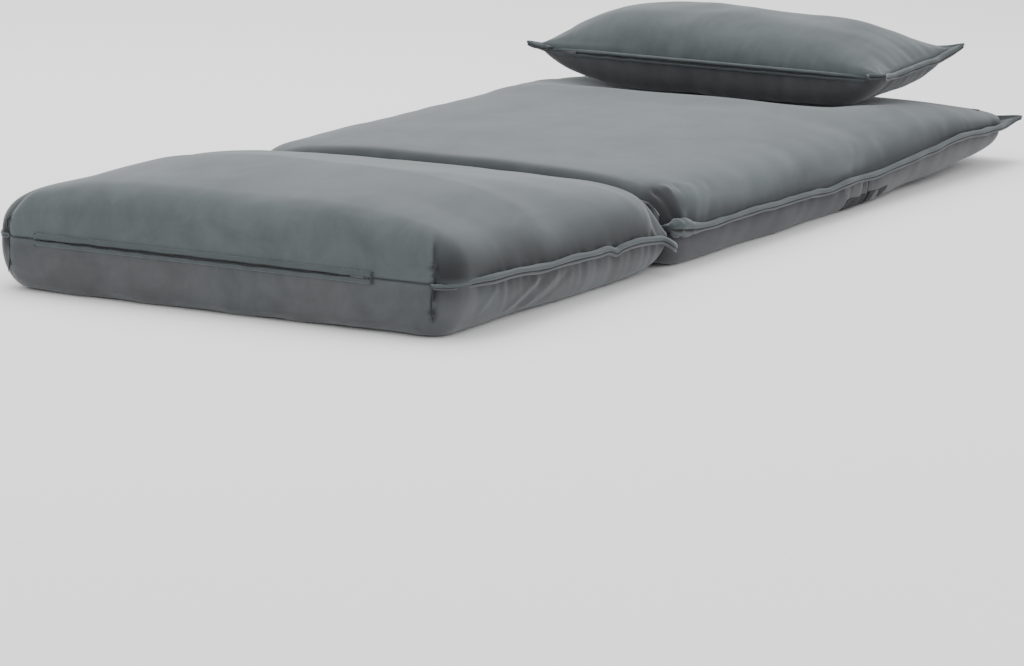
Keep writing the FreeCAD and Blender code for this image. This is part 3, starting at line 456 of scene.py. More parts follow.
class Finish:
    """A material and short ways to add nodes to it."""

    def __init__(self, name, roughness=0.8, constants=None):
        self.material = bpy.data.materials.new(name)
        self.material.use_nodes = True
        self.tree = self.material.node_tree
        self.shader = self.tree.nodes["Principled BSDF"]
        self.shader.inputs["Roughness"].default_value = roughness
        for key, value in (constants or {}).items():
            self.shader.inputs[key].default_value = value
        coordinates = self.node("ShaderNodeTexCoord", {}, {})
        self.place = coordinates.outputs["Object"]

    def node(self, kind, settings, values):
        """One node: its settings are set first, then the values or links of its sockets."""
        made_node = self.tree.nodes.new(kind)
        for key, value in settings.items():
            setattr(made_node, key, value)
        for key, value in values.items():
            socket = made_node.inputs[key]
            if isinstance(value, Value):
                self.tree.links.new(value.socket, socket)
            elif isinstance(value, bpy.types.NodeSocket):
                self.tree.links.new(value, socket)
            else:
                socket.default_value = value
        return made_node

    def moved(self, scale=(1.0, 1.0, 1.0), turn=(0.0, 0.0, 0.0)):
        """Object coordinates, stretched and turned."""
        values = {"Vector": self.place, "Scale": scale, "Rotation": turn}
        return self.node("ShaderNodeMapping", {}, values).outputs["Vector"]

    def noise(self, scale, detail=3.0, roughness=0.55, distortion=0.0, vector=None):
        """Fractal noise from about 0 to 1."""
        values = {"Vector": vector or self.place, "Scale": scale, "Detail": detail,
                  "Roughness": roughness, "Distortion": distortion}
        return Value(self, self.node("ShaderNodeTexNoise", {}, values).outputs["Fac"])

    def bands(self, scale, direction="X", distortion=0.0, vector=None):
        """Sine bands from 0 to 1."""
        values = {"Vector": vector or self.place, "Scale": scale, "Distortion": distortion}
        node = self.node("ShaderNodeTexWave", {"bands_direction": direction}, values)
        return Value(self, node.outputs["Fac"])

    def level(self, key):
        """A value stored on the mesh's points."""
        return Value(self, self.node("ShaderNodeAttribute", {"attribute_name": key}, {}).outputs["Fac"])

    def between(self, value, low, high, to_low=0.0, to_high=1.0):
        """A value's range low..high, clamped and carried to another range."""
        values = {"Value": value, "From Min": low, "From Max": high, "To Min": to_low, "To Max": to_high}
        return Value(self, self.node("ShaderNodeMapRange", {}, values).outputs["Result"])

    def mixed(self, factor, first, second):
        """A colour between two; sockets 0, 6 and 7 are the factor and both colours."""
        ends = [end if isinstance(end, bpy.types.NodeSocket) else (*end, 1.0) for end in (first, second)]
        values = {0: factor, 6: ends[0], 7: ends[1]}
        return self.node("ShaderNodeMix", {"data_type": "RGBA"}, values).outputs[2]

    def colour(self, socket):
        self.tree.links.new(socket, self.shader.inputs["Base Color"])

    def rough(self, value):
        self.tree.links.new(value.socket, self.shader.inputs["Roughness"])

    def bumps(self, *layers):
        """Chained bump nodes: each layer is a value, a strength and a distance in metres."""
        normal = None
        for value, strength, distance in layers:
            values = {"Height": value, "Strength": strength, "Distance": distance}
            if normal is not None:
                values["Normal"] = normal
            normal = self.node("ShaderNodeBump", {}, values).outputs["Normal"]
        self.tree.links.new(normal, self.shader.inputs["Normal"])


def shade(colour, factor):
    """A colour made darker or lighter."""
    return tuple(min(1.0, channel * factor) for channel in colour[:3])


def velvet(name, colour, shaded, sheen=0.3, nap=0.21):
    """Short pile: soft blotches where the nap lies over, faint streaks and fine pile, mixed with painted
    shade below seams, above flanges and in folds, and with lighter nap spots and painted highlights.
    """
    constants = {"Sheen Weight": sheen, "Sheen Roughness": 0.42, "Sheen Tint": (0.86, 0.9, 0.92, 1.0),
                 "Specular IOR Level": 0.18}
    finish = Finish(name, 0.9, constants)
    broad = finish.noise(scale=5.0, detail=2.0, roughness=0.5, distortion=0.6)
    drawn = finish.moved(scale=(1.0, 0.45, 1.0))
    lying = finish.noise(scale=16.0, detail=3.0, roughness=0.6, distortion=1.2, vector=drawn)
    brushed = finish.moved(scale=(1.0, 0.18, 0.5), turn=(0.0, 0.0, 0.2))
    streaks = finish.noise(scale=60.0, detail=4.0, roughness=0.62, distortion=0.4, vector=brushed)
    pile = finish.noise(scale=900.0, detail=2.0, roughness=0.6)
    tone = broad * 0.34 + lying * 0.40 + streaks * 0.19 + pile * 0.07
    tone = finish.between(tone, 0.36, 0.64)
    base = finish.mixed(tone, shade(colour, 1.0 - nap), shade(colour, 1.0 + nap))
    # The shaded copy of the cloth, with the same tone, used for painted shade
    low = finish.mixed(tone, shade(shaded, 1.0 - nap), shade(shaded, 1.0 + nap))
    # Painted shade: points marked under take the shaded copy, on lower sides, bellies and lower rolls
    base = finish.mixed(finish.level("under"), base, low)
    # Painted shade: points marked low darken deeply, above the flanges, near the crease and at pillow seams
    base = finish.mixed(finish.level("low"), base, shade(shaded, 0.24))
    # Lighter nap spots where the pile lies over, and painted highlights on flange crests and dart cheeks
    base = finish.mixed(finish.level("rub") * 0.5, base, shade(colour, 1.5))
    # Painted shade in creases, grooves, darts, seams, folded zip lips and the crease cloth
    base = finish.mixed(finish.level("fold") * 0.85, base, shade(shaded, 0.2))
    finish.colour(base)
    finish.rough(0.82 + lying * 0.14)
    finish.bumps((lying, 0.045, 0.004), (streaks, 0.07, 0.0012), (pile, 0.22, 0.0004))
    return finish.material


def woven(name, colour, threads=1400.0, sheen=0.1):
    """Plain weave: two crossed sets of bands, with slightly uneven thread colours."""
    finish = Finish(name, 0.92, {"Sheen Weight": sheen, "Specular IOR Level": 0.2})
    warp = finish.bands(scale=threads, direction="X", distortion=0.4)
    weft = finish.bands(scale=threads, direction="Y", distortion=0.4)
    upright = finish.bands(scale=threads, direction="Z", distortion=0.4)
    wear = finish.noise(scale=30.0, detail=4.0, roughness=0.6)
    weave = warp * 0.4 + weft * 0.35 + upright * 0.25
    finish.colour(finish.mixed(wear * 0.6 + weave * 0.4, shade(colour, 0.72), shade(colour, 1.35)))
    finish.rough(0.82 + wear * 0.16)
    finish.bumps((weave, 0.4, 0.0004))
    return finish.material


def foam(name, colour):
    """Open cell foam: small round cells and a slow yellowing."""
    finish = Finish(name, 0.95, {"Specular IOR Level": 0.1})
    cells = finish.node("ShaderNodeTexVoronoi", {}, {"Vector": finish.place, "Scale": 620.0})
    holes = Value(finish, cells.outputs["Distance"])
    ageing = finish.noise(scale=7.0, detail=3.0)
    finish.colour(finish.mixed(ageing * 0.7 + holes * 0.3, shade(colour, 0.78), colour))
    finish.rough(0.9 + ageing * 0.08)
    finish.bumps((holes, 0.5, 0.0008))
    return finish.material


def fibre(name, colour):
    """Loose polyester filling: long tangled threads."""
    finish = Finish(name, 0.95, {"Specular IOR Level": 0.15})
    tangle = finish.noise(scale=180.0, detail=5.0, roughness=0.7, distortion=3.0)
    tufts = finish.noise(scale=22.0, detail=3.0, roughness=0.6, distortion=1.0)
    finish.colour(finish.mixed(tangle * 0.5 + tufts * 0.5, shade(colour, 0.8), colour))
    finish.rough(0.86 + tufts * 0.12)
    finish.bumps((tangle, 0.5, 0.001), (tufts, 0.5, 0.004))
    return finish.material


def coated(name, colour):
    """Powder coat on steel: a fine orange-peel skin, dusty and a little worn."""
    finish = Finish(name, 0.45)
    peel = finish.noise(scale=850.0, detail=2.0, roughness=0.5)
    dust = finish.noise(scale=14.0, detail=5.0, roughness=0.65)
    finish.colour(finish.mixed(dust, shade(colour, 0.8), shade(colour, 1.7)))
    finish.rough(0.36 + dust * 0.25)
    finish.bumps((peel, 0.3, 0.0003))
    return finish.material


def plated(name, colour, roughness=0.32):
    """Zinc plate: metallic, with rolled grain, dull patches and fine scratches."""
    finish = Finish(name, roughness, {"Metallic": 1.0})
    rolled = finish.moved(scale=(1.0, 0.06, 0.6))
    grain = finish.noise(scale=420.0, detail=4.0, roughness=0.6, distortion=0.0, vector=rolled)
    patches = finish.noise(scale=24.0, detail=4.0, roughness=0.6)
    finish.colour(finish.mixed(patches * 0.6 + grain * 0.4, shade(colour, 0.72), shade(colour, 1.12)))
    finish.rough(roughness - 0.06 + patches * 0.22)
    finish.bumps((grain, 0.15, 0.0002))
    return finish.material


def moulded(name, colour, roughness=0.5):
    """Moulded plastic: a fine grained skin with faint flow marks."""
    finish = Finish(name, roughness)
    grain = finish.noise(scale=1500.0, detail=2.0, roughness=0.5)
    flow = finish.noise(scale=35.0, detail=3.0, roughness=0.5, distortion=1.0)
    finish.colour(finish.mixed(flow, shade(colour, 0.85), shade(colour, 1.3)))
    finish.rough(roughness - 0.05 + flow * 0.14)
    finish.bumps((grain, 0.2, 0.0002))
    return finish.material


def colour_property(name, description, default):
    """A colour setting in linear values."""
    return FloatVectorProperty(name=name, description=description, subtype="COLOR", size=3,
                               min=0.0, max=1.0, default=default)


class ChairBedColours(bpy.types.PropertyGroup):
    """Colours of the finishes, as linear values."""
    velvet: colour_property("Velvet", "Pile cloth on top of every cushion", (0.067, 0.079, 0.083))
    # Side velvet: the pile cloth of the lower sides darkened as painted shade, and the shaded copy that every
    # velvet mixes towards for painted shade
    velvet_side: colour_property("Side velvet", "Pile cloth below the flanges", (0.067, 0.0685, 0.072))
    charcoal: colour_property("Seat band", "Band around the seat below its flange", (0.046, 0.045, 0.050))
    base_cloth: colour_property("Base cloth", "Non-slip cloth and corner patches", (0.012, 0.012, 0.014))
    floor: colour_property("Floor", "Studio floor", (0.94, 0.94, 0.94))


class ChairBedSizes(bpy.types.PropertyGroup):
    """Sizes that a user would change."""
    flange_roll: FloatProperty(name="Flange roll", description="Radius of the upper roll of a flange",
                               subtype="DISTANCE", unit="LENGTH", default=0.0036, min=0.001, max=0.02)
    wrinkle: FloatProperty(name="Wrinkles", description="How deep the folds in the cloth are",
                           subtype="FACTOR", default=1.0, min=0.0, max=3.0)
    camera_distance: FloatProperty(name="Camera distance", description="From the camera to its aim",
                                   subtype="DISTANCE", unit="LENGTH", default=7.29, min=1.0, max=50.0)


FINISHES = {}


def settled(piece, nodes, body=None, blend=None):
    """Hangs a piece on its body, or bakes its transform where it spans two, and hides the parts it replaces.
    """
    if blend:
        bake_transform(piece)
    else:
        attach(piece, body)
    if nodes:
        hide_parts(*nodes)
    return piece


# Foot cushion

# Straight folds of the foot cushion: start, end, width and height
FOOT_STROKES = [
    ((0.336, FOOT_FACE_Y + 0.235, 0.052), (0.322, FOOT_FACE_Y + 0.170, 0.018), 0.006, 0.0030),
    ((0.336, FOOT_FACE_Y + 0.262, 0.052), (0.320, FOOT_FACE_Y + 0.196, 0.016), 0.006, -0.0026),
    ((0.336, FOOT_FACE_Y + 0.292, 0.052), (0.320, FOOT_FACE_Y + 0.222, 0.014), 0.006, 0.0028),
    ((0.336, FOOT_FACE_Y + 0.325, 0.050), (0.322, FOOT_FACE_Y + 0.262, 0.016), 0.006, -0.0022),
    ((0.336, FOOT_FACE_Y + 0.120, 0.056), (0.324, FOOT_FACE_Y + 0.080, 0.026), 0.007, 0.0018),
    ((0.020, FOOT_FACE_Y + 0.000, 0.085), (0.015, FOOT_FACE_Y + 0.030, 0.135), 0.012, 0.0018),
    ((-0.085, FOOT_FACE_Y + 0.000, 0.086), (-0.080, FOOT_FACE_Y + 0.080, 0.140), 0.007, 0.0016),
    ((-0.080, FOOT_FACE_Y + 0.080, 0.138), (-0.050, FOOT_FACE_Y + 0.190, 0.155), 0.008, 0.0014),
    ((0.336, FOOT_NEAR_Y - 0.050, 0.060), (0.300, FOOT_NEAR_Y - 0.016, 0.118), 0.010, -0.0030),
    ((0.336, FOOT_NEAR_Y - 0.085, 0.060), (0.300, FOOT_NEAR_Y - 0.040, 0.128), 0.014, 0.0022),
]

# The two rolls of a dart's edge: lower end, upper end and bow
DART_ROLLS = ((0.076, 0.119, 0.0015), (0.024, 0.069, -0.0035))
DART_ROLL_RADIUS = 0.0013


def foot_half(d):
    """Half width of the foot cushion at a distance from its zip face, rounded at both ends."""
    return BODY_HALF - shared(d, *FOOT_SIDE_ROUND) - shared(FOOT_BODY - d, *FOOT_SIDE_CREASE_ROUND)


def foot_rings():
    """Rings of the foot cushion along Y: a crown over the seam, drawn in towards the crease, and a belly
    below. The crown's superellipse grows fuller towards both ends."""
    d = spread(0.0, FOOT_BODY, 0.0022, 0.005, 0.06)
    near = FOOT_BODY - d
    half = foot_half(d)
    low = shared(d, *FOOT_BELLY_ROUND) + shared(near, *FOOT_BELLY_CREASE_ROUND)
    top = FOOT_TOP - shared(d, *FOOT_END_ROUND) - shared(d, *FOOT_END_FALL)
    fall = np.clip(1.0 - near / FOOT_CREASE_FALL_REACH, 0.0, 1.0) ** FOOT_CREASE_FALL_POWER
    top = top - shared(near, *FOOT_CREASE_ROUND) - FOOT_CREASE_FALL * fall
    y = FOOT_FACE_Y + d
    seam = foot_seam(y)
    fullness = 2.6 + 0.8 * (1.0 - smooth(d, 0.0, 0.15)) + 1.8 * (1.0 - smooth(near, 0.04, 0.33))
    fullness = fullness + 2.2 * (1.0 - smooth(near, 0.0, 0.07))
    turn = np.linspace(0.0, math.pi, FOOT_COLUMNS)
    x_over, z_over = crown_curve(turn, half, seam, top, fullness[:, None])
    taper = FOOT_CORNER_TAPER * (1.0 - smooth(near, 0.0, FOOT_CORNER_REACH))
    x_over = drawn_in(x_over, z_over, seam, top, taper, 1.0)
    x_under, z_under = belly_curve(FOOT_COLUMNS, half, low, seam, FOOT_BELLY_SIDE)
    x = np.concatenate([x_over, x_under[:, 1:-1]], axis=1)
    z = np.concatenate([z_over, z_under[:, 1:-1]], axis=1)
    return rings_across(y, x, z)


def mouth_cap(rings, steps=48):
    """Closes the first ring towards the zip line, so that the mesh runs round the zip like a mouth."""
    ring = rings[0]
    across = np.linspace(FOOT_MOUTH_HALF, -FOOT_MOUTH_HALF, FOOT_COLUMNS)
    line_x = np.concatenate([across, across[::-1][1:-1]]) + FOOT_ZIP_X
    line = np.stack([line_x, np.full_like(line_x, FOOT_FACE_Y), np.full_like(line_x, FOOT_SEAM)], axis=-1)
    share = np.linspace(1.0, 0.0, steps + 1)[1:][:, None, None]
    cap = line + (ring - line) * share
    cap[..., 1] -= 0.0015 * (1.0 - share[..., 0] ** 4)
    return np.concatenate([cap[::-1], rings])


def dart_groove(x, z, d):
    """How far a point lies past the dart's line, which leans back, and the groove there: steep towards the
    middle of the face and gentle away from it, faded at its ends, and weaker on the far side."""
    past = np.abs(x) - DART_X + DART_LEAN * d
    groove = np.where(past > 0.0, np.exp(-past / 0.007), np.exp(past / 0.0032))
    groove = groove * np.where(x > 0.0, 1.0, DART_FAR_SHARE)
    groove = groove * smooth(z, 0.012, 0.030) * (1.0 - smooth(z, 0.112, 0.130))
    return past, groove * (1.0 - smooth(d, 0.03, 0.06))


def foot_surface():
    """The foot cushion's points with their folds, and at each point its painted crease shade, nap tone and
    painted highlight, painted shade below the seam and painted shade above it.

    The relief is a sum: broad and small waves, puckers at the side seam, drape on the zip face, the straight
    folds, the end seam, the darts with a pinch at the seam and swollen cheeks beside them, and a swell away
    from the zip face. It fades to nothing round the zip, at the crease and on the ground."""
    rings = mouth_cap(foot_rings())
    rings = np.concatenate([rings, flat_cap(rings[-1], steps=12)])
    x, y, z = rings[..., 0], rings[..., 1], rings[..., 2]
    d = y - FOOT_FACE_Y
    near = FOOT_NEAR_Y - y
    seam = foot_seam(y)
    side = smooth(np.abs(x), 0.22, 0.33)
    over = smooth(z, seam, seam + 0.01)
    from_zip = np.abs(x - FOOT_ZIP_X)
    past, dart = dart_groove(x, z, d)

    amount = 0.0009 * waves(rings, 0.30, 11) + 0.0004 * waves(rings, 0.10, 12, (1.0, 1.4, 1.0))
    pucker = wander(y + 0.35 * (z - seam), 0.034, 13) * np.exp(-np.abs(z - seam) / 0.022) * side
    amount = amount + (0.0001 + 0.0009 * (1.0 - over)) * pucker * smooth(d, 0.02, 0.08)
    drape = waves(rings, 0.060, 14, (1.0, 1.0, 3.0)) * (1.0 - smooth(d, 0.01, 0.05))
    amount = amount + 0.0007 * drape
    for fold_line in FOOT_STROKES:
        amount = amount + stroke(rings, *fold_line)
    end_seam = (1.0 - smooth(d, 0.03, 0.05)) * bell(z, FOOT_SEAM, 0.0016) * smooth(from_zip, 0.246, 0.250)
    end_seam = end_seam * (1.0 - smooth(np.abs(x), DART_X, DART_X + 0.004))
    pinch = bell(z, FOOT_SEAM, 0.010) * bell(past, 0.004, 0.014) * (1.0 - smooth(d, 0.03, 0.06))
    amount = amount - 0.0015 * end_seam - DART_DEPTH * dart - DART_PINCH * pinch
    cheek = bell(past, -0.012, 0.010) * (1.0 - smooth(d, 0.02, 0.05))
    amount = amount + 0.0022 * cheek * bell(z, 0.095, 0.030) + 0.0016 * cheek * bell(z, 0.045, 0.022)
    amount = amount + 0.0022 * smooth(d, -0.001, 0.03)
    zip_room = (1.0 - smooth(d, 0.004, 0.02)) * bell(z, FOOT_SEAM, 0.018)
    zip_room = zip_room * (1.0 - smooth(from_zip, 0.24, 0.27))
    amount = amount * (1.0 - zip_room) * smooth(near, -0.001, 0.012)
    amount = np.where(z < 0.004, np.minimum(amount, 0.0), amount)
    points = raised(rings, amount)
    points[..., 2] = np.maximum(points[..., 2], 0.0)

    # Painted shade in the dart grooves, the end seam, along the side seam and just under the flange
    fold = np.where(past > -0.002, dart, 0.0) ** 1.5 + end_seam * 0.9
    fold = np.clip(fold + 0.35 * bell(z, seam, 0.006) * side * smooth(d, 0.03, 0.06), 0.0, 1.0)
    fold = fold + 0.25 * bell(z, seam - 0.012, 0.012) * (1.0 - over) * side
    # Lighter nap spots, and a painted highlight on the swollen cheek beside each dart
    rub = rubbed(rings, 0.2, (15, 16), 0.16, 0.3) * over
    rub = rub + 0.35 * bell(past, -0.006, 0.003) * (1.0 - smooth(d, 0.04, 0.06)) * bell(z, 0.105, 0.02)
    # Painted shade: the cloth below the seam takes the shaded copy
    shaded_below_seam = 1.0 - smooth(z - seam, -0.012, 0.006)
    under = np.clip(shaded_below_seam * (0.80 + 0.15 * waves(rings, 0.14, 17)), 0.0, 1.0)
    # Painted shade on the sides, fading up from the flange, and a band just below it
    rise = 0.078 + 0.012 * waves(rings, 0.16, 18)
    beyond = side * smooth(past, 0.0, 0.004)
    low = 0.95 * over * beyond * (1.0 - smooth(z - seam, 0.004, rise))
    low = low + 0.45 * (1.0 - over) * beyond * bell(z, seam, 0.020)
    return points, {"fold": fold, "rub": rub, "under": under, "low": low}


def dart_piece(name, side):
    """The folded edge of a corner dart: two thin tapered rolls down the face, over and under the seam. Their
    line leans back as the dart's groove does, following the face round at the top and at the bottom."""
    turn = np.linspace(0.0, 2.0 * math.pi, 8, endpoint=False)
    runs = []
    for low, high, bow in DART_ROLLS:
        t = np.linspace(0.0, 1.0, 40)
        arch = 4.0 * t * (1.0 - t)
        z = low + (high - low) * t
        recede = 0.0015 + 1.2 * np.clip(z - 0.093, 0.0, 1.0) + shared(z - 0.010, 0.022, 0.006)
        x = DART_X + 0.001 + bow * arch - DART_LEAN * recede
        y = FOOT_FACE_Y + recede
        thick = DART_ROLL_RADIUS * np.sqrt(np.clip(arch, 0.04, 1.0))
        ring_x = side * (x[:, None] + thick[:, None] * np.cos(turn))
        ring_y = y[:, None] + thick[:, None] * np.sin(turn)
        rings = np.stack([ring_x, ring_y, np.repeat(z[:, None], 8, axis=1)], axis=-1)
        runs.append(tube_caps(rings, 0.0008, 0.0008, 3))
    points, quads = joined(runs)
    # The dart's rolls are painted wholly in crease shade
    return made(name, points, quads, "flange_velvet", 1e-6, {"fold": np.ones(len(points))})


class OBJECT_OT_chair_bed_foot(bpy.types.Operator):
    """The thick foot cushion, with its zip face, corner darts and folds"""
    bl_idname = "object.chair_bed_foot"
    bl_label = "Foot cushion"

    def execute(self, context):
        points, levels = foot_surface()
        piece = rings_piece("foot_cushion", points, "velvet_grey", levels)
        nodes = ["foot_cover_top", "foot_border", "foot_base_panel", "foot_end_panel", "foot_filling"]
        settled(piece, nodes, body="foot")
        for side, name in ((1, "foot_dart_right"), (-1, "foot_dart_left")):
            settled(dart_piece(name, side), [], body="foot")
        return {"FINISHED"}


# Flanges

# Points of a flange's upper and lower roll; the outline starts and ends with one point of the web
UPPER_POINTS = 13
LOWER_POINTS = 10
LOWER_ROLL = 0.74


def roll_profile():
    """Closed outline of a folded flange for an upper roll of radius 1, measured inward from its outer edge
    and upward: a fat upper roll and a thinner lower roll, with a groove between them."""
    upper = np.linspace(math.radians(165.0), math.radians(-58.0), UPPER_POINTS)
    lower = np.linspace(math.radians(62.0), math.radians(-160.0), LOWER_POINTS)
    top = np.stack([1.0 - np.cos(upper), 0.72 + np.sin(upper)], axis=-1)
    under = np.stack([1.15 - LOWER_ROLL * np.cos(lower), -0.95 + LOWER_ROLL * np.sin(lower)], axis=-1)
    return np.concatenate([top, under])


def flange_rings(inner, outer, radius, root=0.004):
    """Rings of a flange: its rolls follow the outer line, and its web runs in past the inner line."""
    up = np.array([0.0, 0.0, 1.0])
    way = outer - inner
    way = way / np.linalg.norm(way, axis=-1, keepdims=True)
    outline = roll_profile()[None] * radius[:, None, None]
    rolls = outer[:, None, :] - way[:, None, :] * outline[..., :1] + up * outline[..., 1:]
    inside = inner - way * root
    web = up * (0.42 * radius)[:, None]
    return np.concatenate([(inside + web)[:, None, :], rolls, (inside - web)[:, None, :]], axis=1)


def flange_piece(name, inner, outer, radius):
    """A flange as a closed piece: its groove and web carry painted shade, its crest a painted highlight, its
    lower roll painted shade.
    """
    rings = tube_caps(flange_rings(inner, outer, radius), 0.003, 0.003)
    count, around = rings.shape[:2]
    # Painted shade in the groove between the rolls and at the web
    fold = np.zeros(around)
    fold[UPPER_POINTS:UPPER_POINTS + 3] = 1.0
    fold[[0, -1]] = 0.6
    # Painted highlight along the crest of the upper roll
    rub = np.zeros(around)
    rub[3:9] = 0.8
    # Painted shade on the lower roll
    under = np.zeros(around)
    under[UPPER_POINTS + 1:] = 0.8
    levels = {"fold": fold, "rub": rub, "under": under}
    levels = {key: np.repeat(values[None, :], count, axis=0) for key, values in levels.items()}
    return rings_piece(name, rings, "flange_velvet", levels)


def foot_flange(side, roll):
    """Inner line, outer line and roll radius of one flange of the foot cushion.

    It is narrow at the zip face and leans outward and down into the crease, with a dip where the cloth is
    gathered."""
    length = FOOT_BODY - 0.0005
    d = length * np.linspace(0.0, 1.0, 230) ** 1.7
    y = FOOT_FACE_Y + d
    near = length - d
    body = foot_half(d)
    crease = 1.0 - smooth(near, 0.0, 0.045)
    reach = 0.0015 + 0.0105 * smooth(d, 0.015, 0.11) + 0.0006 * wander(y, 0.11, 31 + side)
    out = np.minimum(body + reach, FLANGE_HALF - 0.0006 + 0.0005 * wander(y, 0.12, 32 + side))
    out = out + 0.008 * crease
    z = foot_seam(y) + 0.0007 * wander(y, 0.19, 33 + side) - 0.0035 * bell(d, 0.445, 0.012)
    z = z + 0.0025 * bell(d, 0.420, 0.022) - 0.004 * (1.0 - smooth(near, 0.0, 0.05))
    droop = 0.0012 + 0.0006 * wander(y, 0.15, 35 + side) + 0.012 * crease
    inner = np.stack([side * (body - 0.002), y, z], axis=-1)
    outer = np.stack([side * out, y, z - droop], axis=-1)
    radius = roll * (1.0 + 0.06 * wander(y, 0.09, 37 + side)) * (0.5 + 0.5 * smooth(d, 0.0, 0.05))
    return inner, outer, radius


class OBJECT_OT_chair_bed_foot_flange(bpy.types.Operator):
    """The rolled flanges along both sides of the foot cushion"""
    bl_idname = "object.chair_bed_foot_flange"
    bl_label = "Foot flanges"

    def execute(self, context):
        roll = context.scene.chair_bed_sizes.flange_roll
        for side, name in ((1, "foot_flange_right"), (-1, "foot_flange_left")):
            piece = flange_piece(name, *foot_flange(side, roll))
            settled(piece, ["foot_piping"], body="foot")
        return {"FINISHED"}


# Mattress of the seat and the back

# Straight folds of the mattress: the gathers at the corner by the crease, then one each side of the fold
MATTRESS_STROKES = [
    ((0.330, CREASE_Y + 0.024, 0.062), (0.290, CREASE_Y + 0.030, 0.112), 0.005, -0.0046),
    ((0.332, CREASE_Y + 0.036, 0.062), (0.298, CREASE_Y + 0.052, 0.112), 0.006, 0.0042),
    ((0.334, CREASE_Y + 0.050, 0.062), (0.306, CREASE_Y + 0.074, 0.108), 0.006, -0.0038),
    ((0.334, CREASE_Y + 0.066, 0.062), (0.312, CREASE_Y + 0.098, 0.102), 0.008, 0.0026),
    ((0.336, CREASE_Y + 0.105, 0.062), (0.318, CREASE_Y + 0.150, 0.104), 0.010, -0.0014),
    ((0.336, FOLD_Y - 0.065, 0.058), (0.325, FOLD_Y - 0.030, 0.098), 0.012, -0.0010),
    ((0.336, FOLD_Y + 0.075, 0.058), (0.325, FOLD_Y + 0.040, 0.098), 0.012, -0.0009),
]


def mattress_sections(y):
    """Half width, bottom, seam and top of the flat mattress at each y: rounded at both ends, a little lower
    over the back, and thinned to a wedge at the head end."""
    start = y - MATTRESS_START
    head = MATTRESS_END - y
    seam = mattress_seam(y)
    half = BODY_HALF - shared(start, *MATTRESS_SIDE_ROUND) - shared(head, *MATTRESS_SIDE_HEAD_ROUND)
    low = shared(start, *MATTRESS_BELLY_ROUND) + shared(head, HEAD_BELLY_REACH, 1.0) * (seam - 0.006)
    top = MATTRESS_TOP - shared(start, *MATTRESS_CREASE_ROUND) - shared(start, *MATTRESS_CREASE_FALL)
    top = top - MATTRESS_BACK_FALL * smooth(y - FOLD_Y, -0.06, 0.26)
    top = top - HEAD_WEDGE * np.clip(1.0 - head / HEAD_WEDGE_REACH, 0.0, 1.0) ** HEAD_WEDGE_POWER
    top = np.maximum(top - shared(head, *HEAD_ROUND), seam + 0.003)
    return half, low, seam, top


def mattress_top_surface():
    """The upper pad of seat and back: crowned above the seam, with a flat lid just below it inside.

    The relief is broad and small waves, faint puckers and billows at the sides, the straight folds, and the
    dent that the pillow lies in. It fades to nothing at the seam and at both ends."""
    y = spread(MATTRESS_START, MATTRESS_END, 0.0035, 0.006, 0.11)
    half, low, seam, top = mattress_sections(y)
    turn = np.linspace(0.0, math.pi, MATTRESS_COLUMNS)
    x_over, z_over = crown_curve(turn, half, seam, top, MATTRESS_FULLNESS)
    taper = MATTRESS_CORNER_TAPER * (1.0 - smooth(y - MATTRESS_START, 0.0, MATTRESS_CORNER_REACH))
    x_over = drawn_in(x_over, z_over, seam, top, taper, 1.2)
    rings = flat_caps(lidded(y, x_over, z_over, seam - 0.0025), 0.002)
    x, y, z = rings[..., 0], rings[..., 1], rings[..., 2]
    seam = mattress_seam(y)
    start = y - MATTRESS_START
    head = MATTRESS_END - y
    side = smooth(np.abs(x), 0.24, 0.335)
    over = smooth(z, seam - 0.001, seam + 0.003)

    amount = 0.0008 * waves(rings, 0.34, 41) + 0.0003 * waves(rings, 0.12, 42, (1.0, 1.5, 1.0))
    pucker = wander(y + 0.5 * (z - seam), 0.040, 43) * np.exp(-np.abs(z - seam) / 0.026) * side
    billow = wander(y + 0.02 * np.sign(x), 0.105, 44) * side * smooth(z, seam + 0.005, seam + 0.05)
    amount = amount + 0.0001 * pucker + 0.0003 * billow
    for fold_line in MATTRESS_STROKES:
        amount = amount + stroke(rings, *fold_line)
    dent = smooth(y, FOLD_Y + 0.07, FOLD_Y + 0.23) * (1.0 - smooth(y, FOLD_Y + 0.27, FOLD_Y + 0.43))
    dent = dent * (1.0 - smooth(np.abs(x - PILLOW_CENTRE_X), 0.16, 0.32))
    amount = amount + 0.0015 - PILLOW_DENT * dent
    amount = amount * over * smooth(start, -0.001, 0.02) * smooth(head, -0.001, 0.02)
    points = laid(raised(rings, amount), 0.06)

    # Painted shade along the side seam
    fold = 0.55 * bell(z, seam, 0.006) * over * side
    rub = rubbed(rings, 0.22, (45, 46), 0.14, 0.4) * over
    # Painted shade on the sides above the flange, at the crease end and in the corner notch
    rise = 0.034 + 0.008 * waves(rings, 0.20, 47)
    low = over * side * (1.0 - smooth(z - seam, 0.003, rise)) * 0.85
    low = low + 0.6 * over * (1.0 - smooth(start, 0.006, 0.05)) * (1.0 - smooth(np.abs(x), 0.30, 0.33))
    corner = (1.0 - smooth(start, 0.020, 0.075)) * smooth(np.abs(x), 0.255, 0.305)
    low = np.maximum(low, 0.95 * over * corner)
    return points, {"fold": fold, "rub": rub, "low": low}


def side_swell(z):
    """How far the middle of a lower pad's side stands out."""
    return 0.0014 * bell(z, 0.024, 0.018)


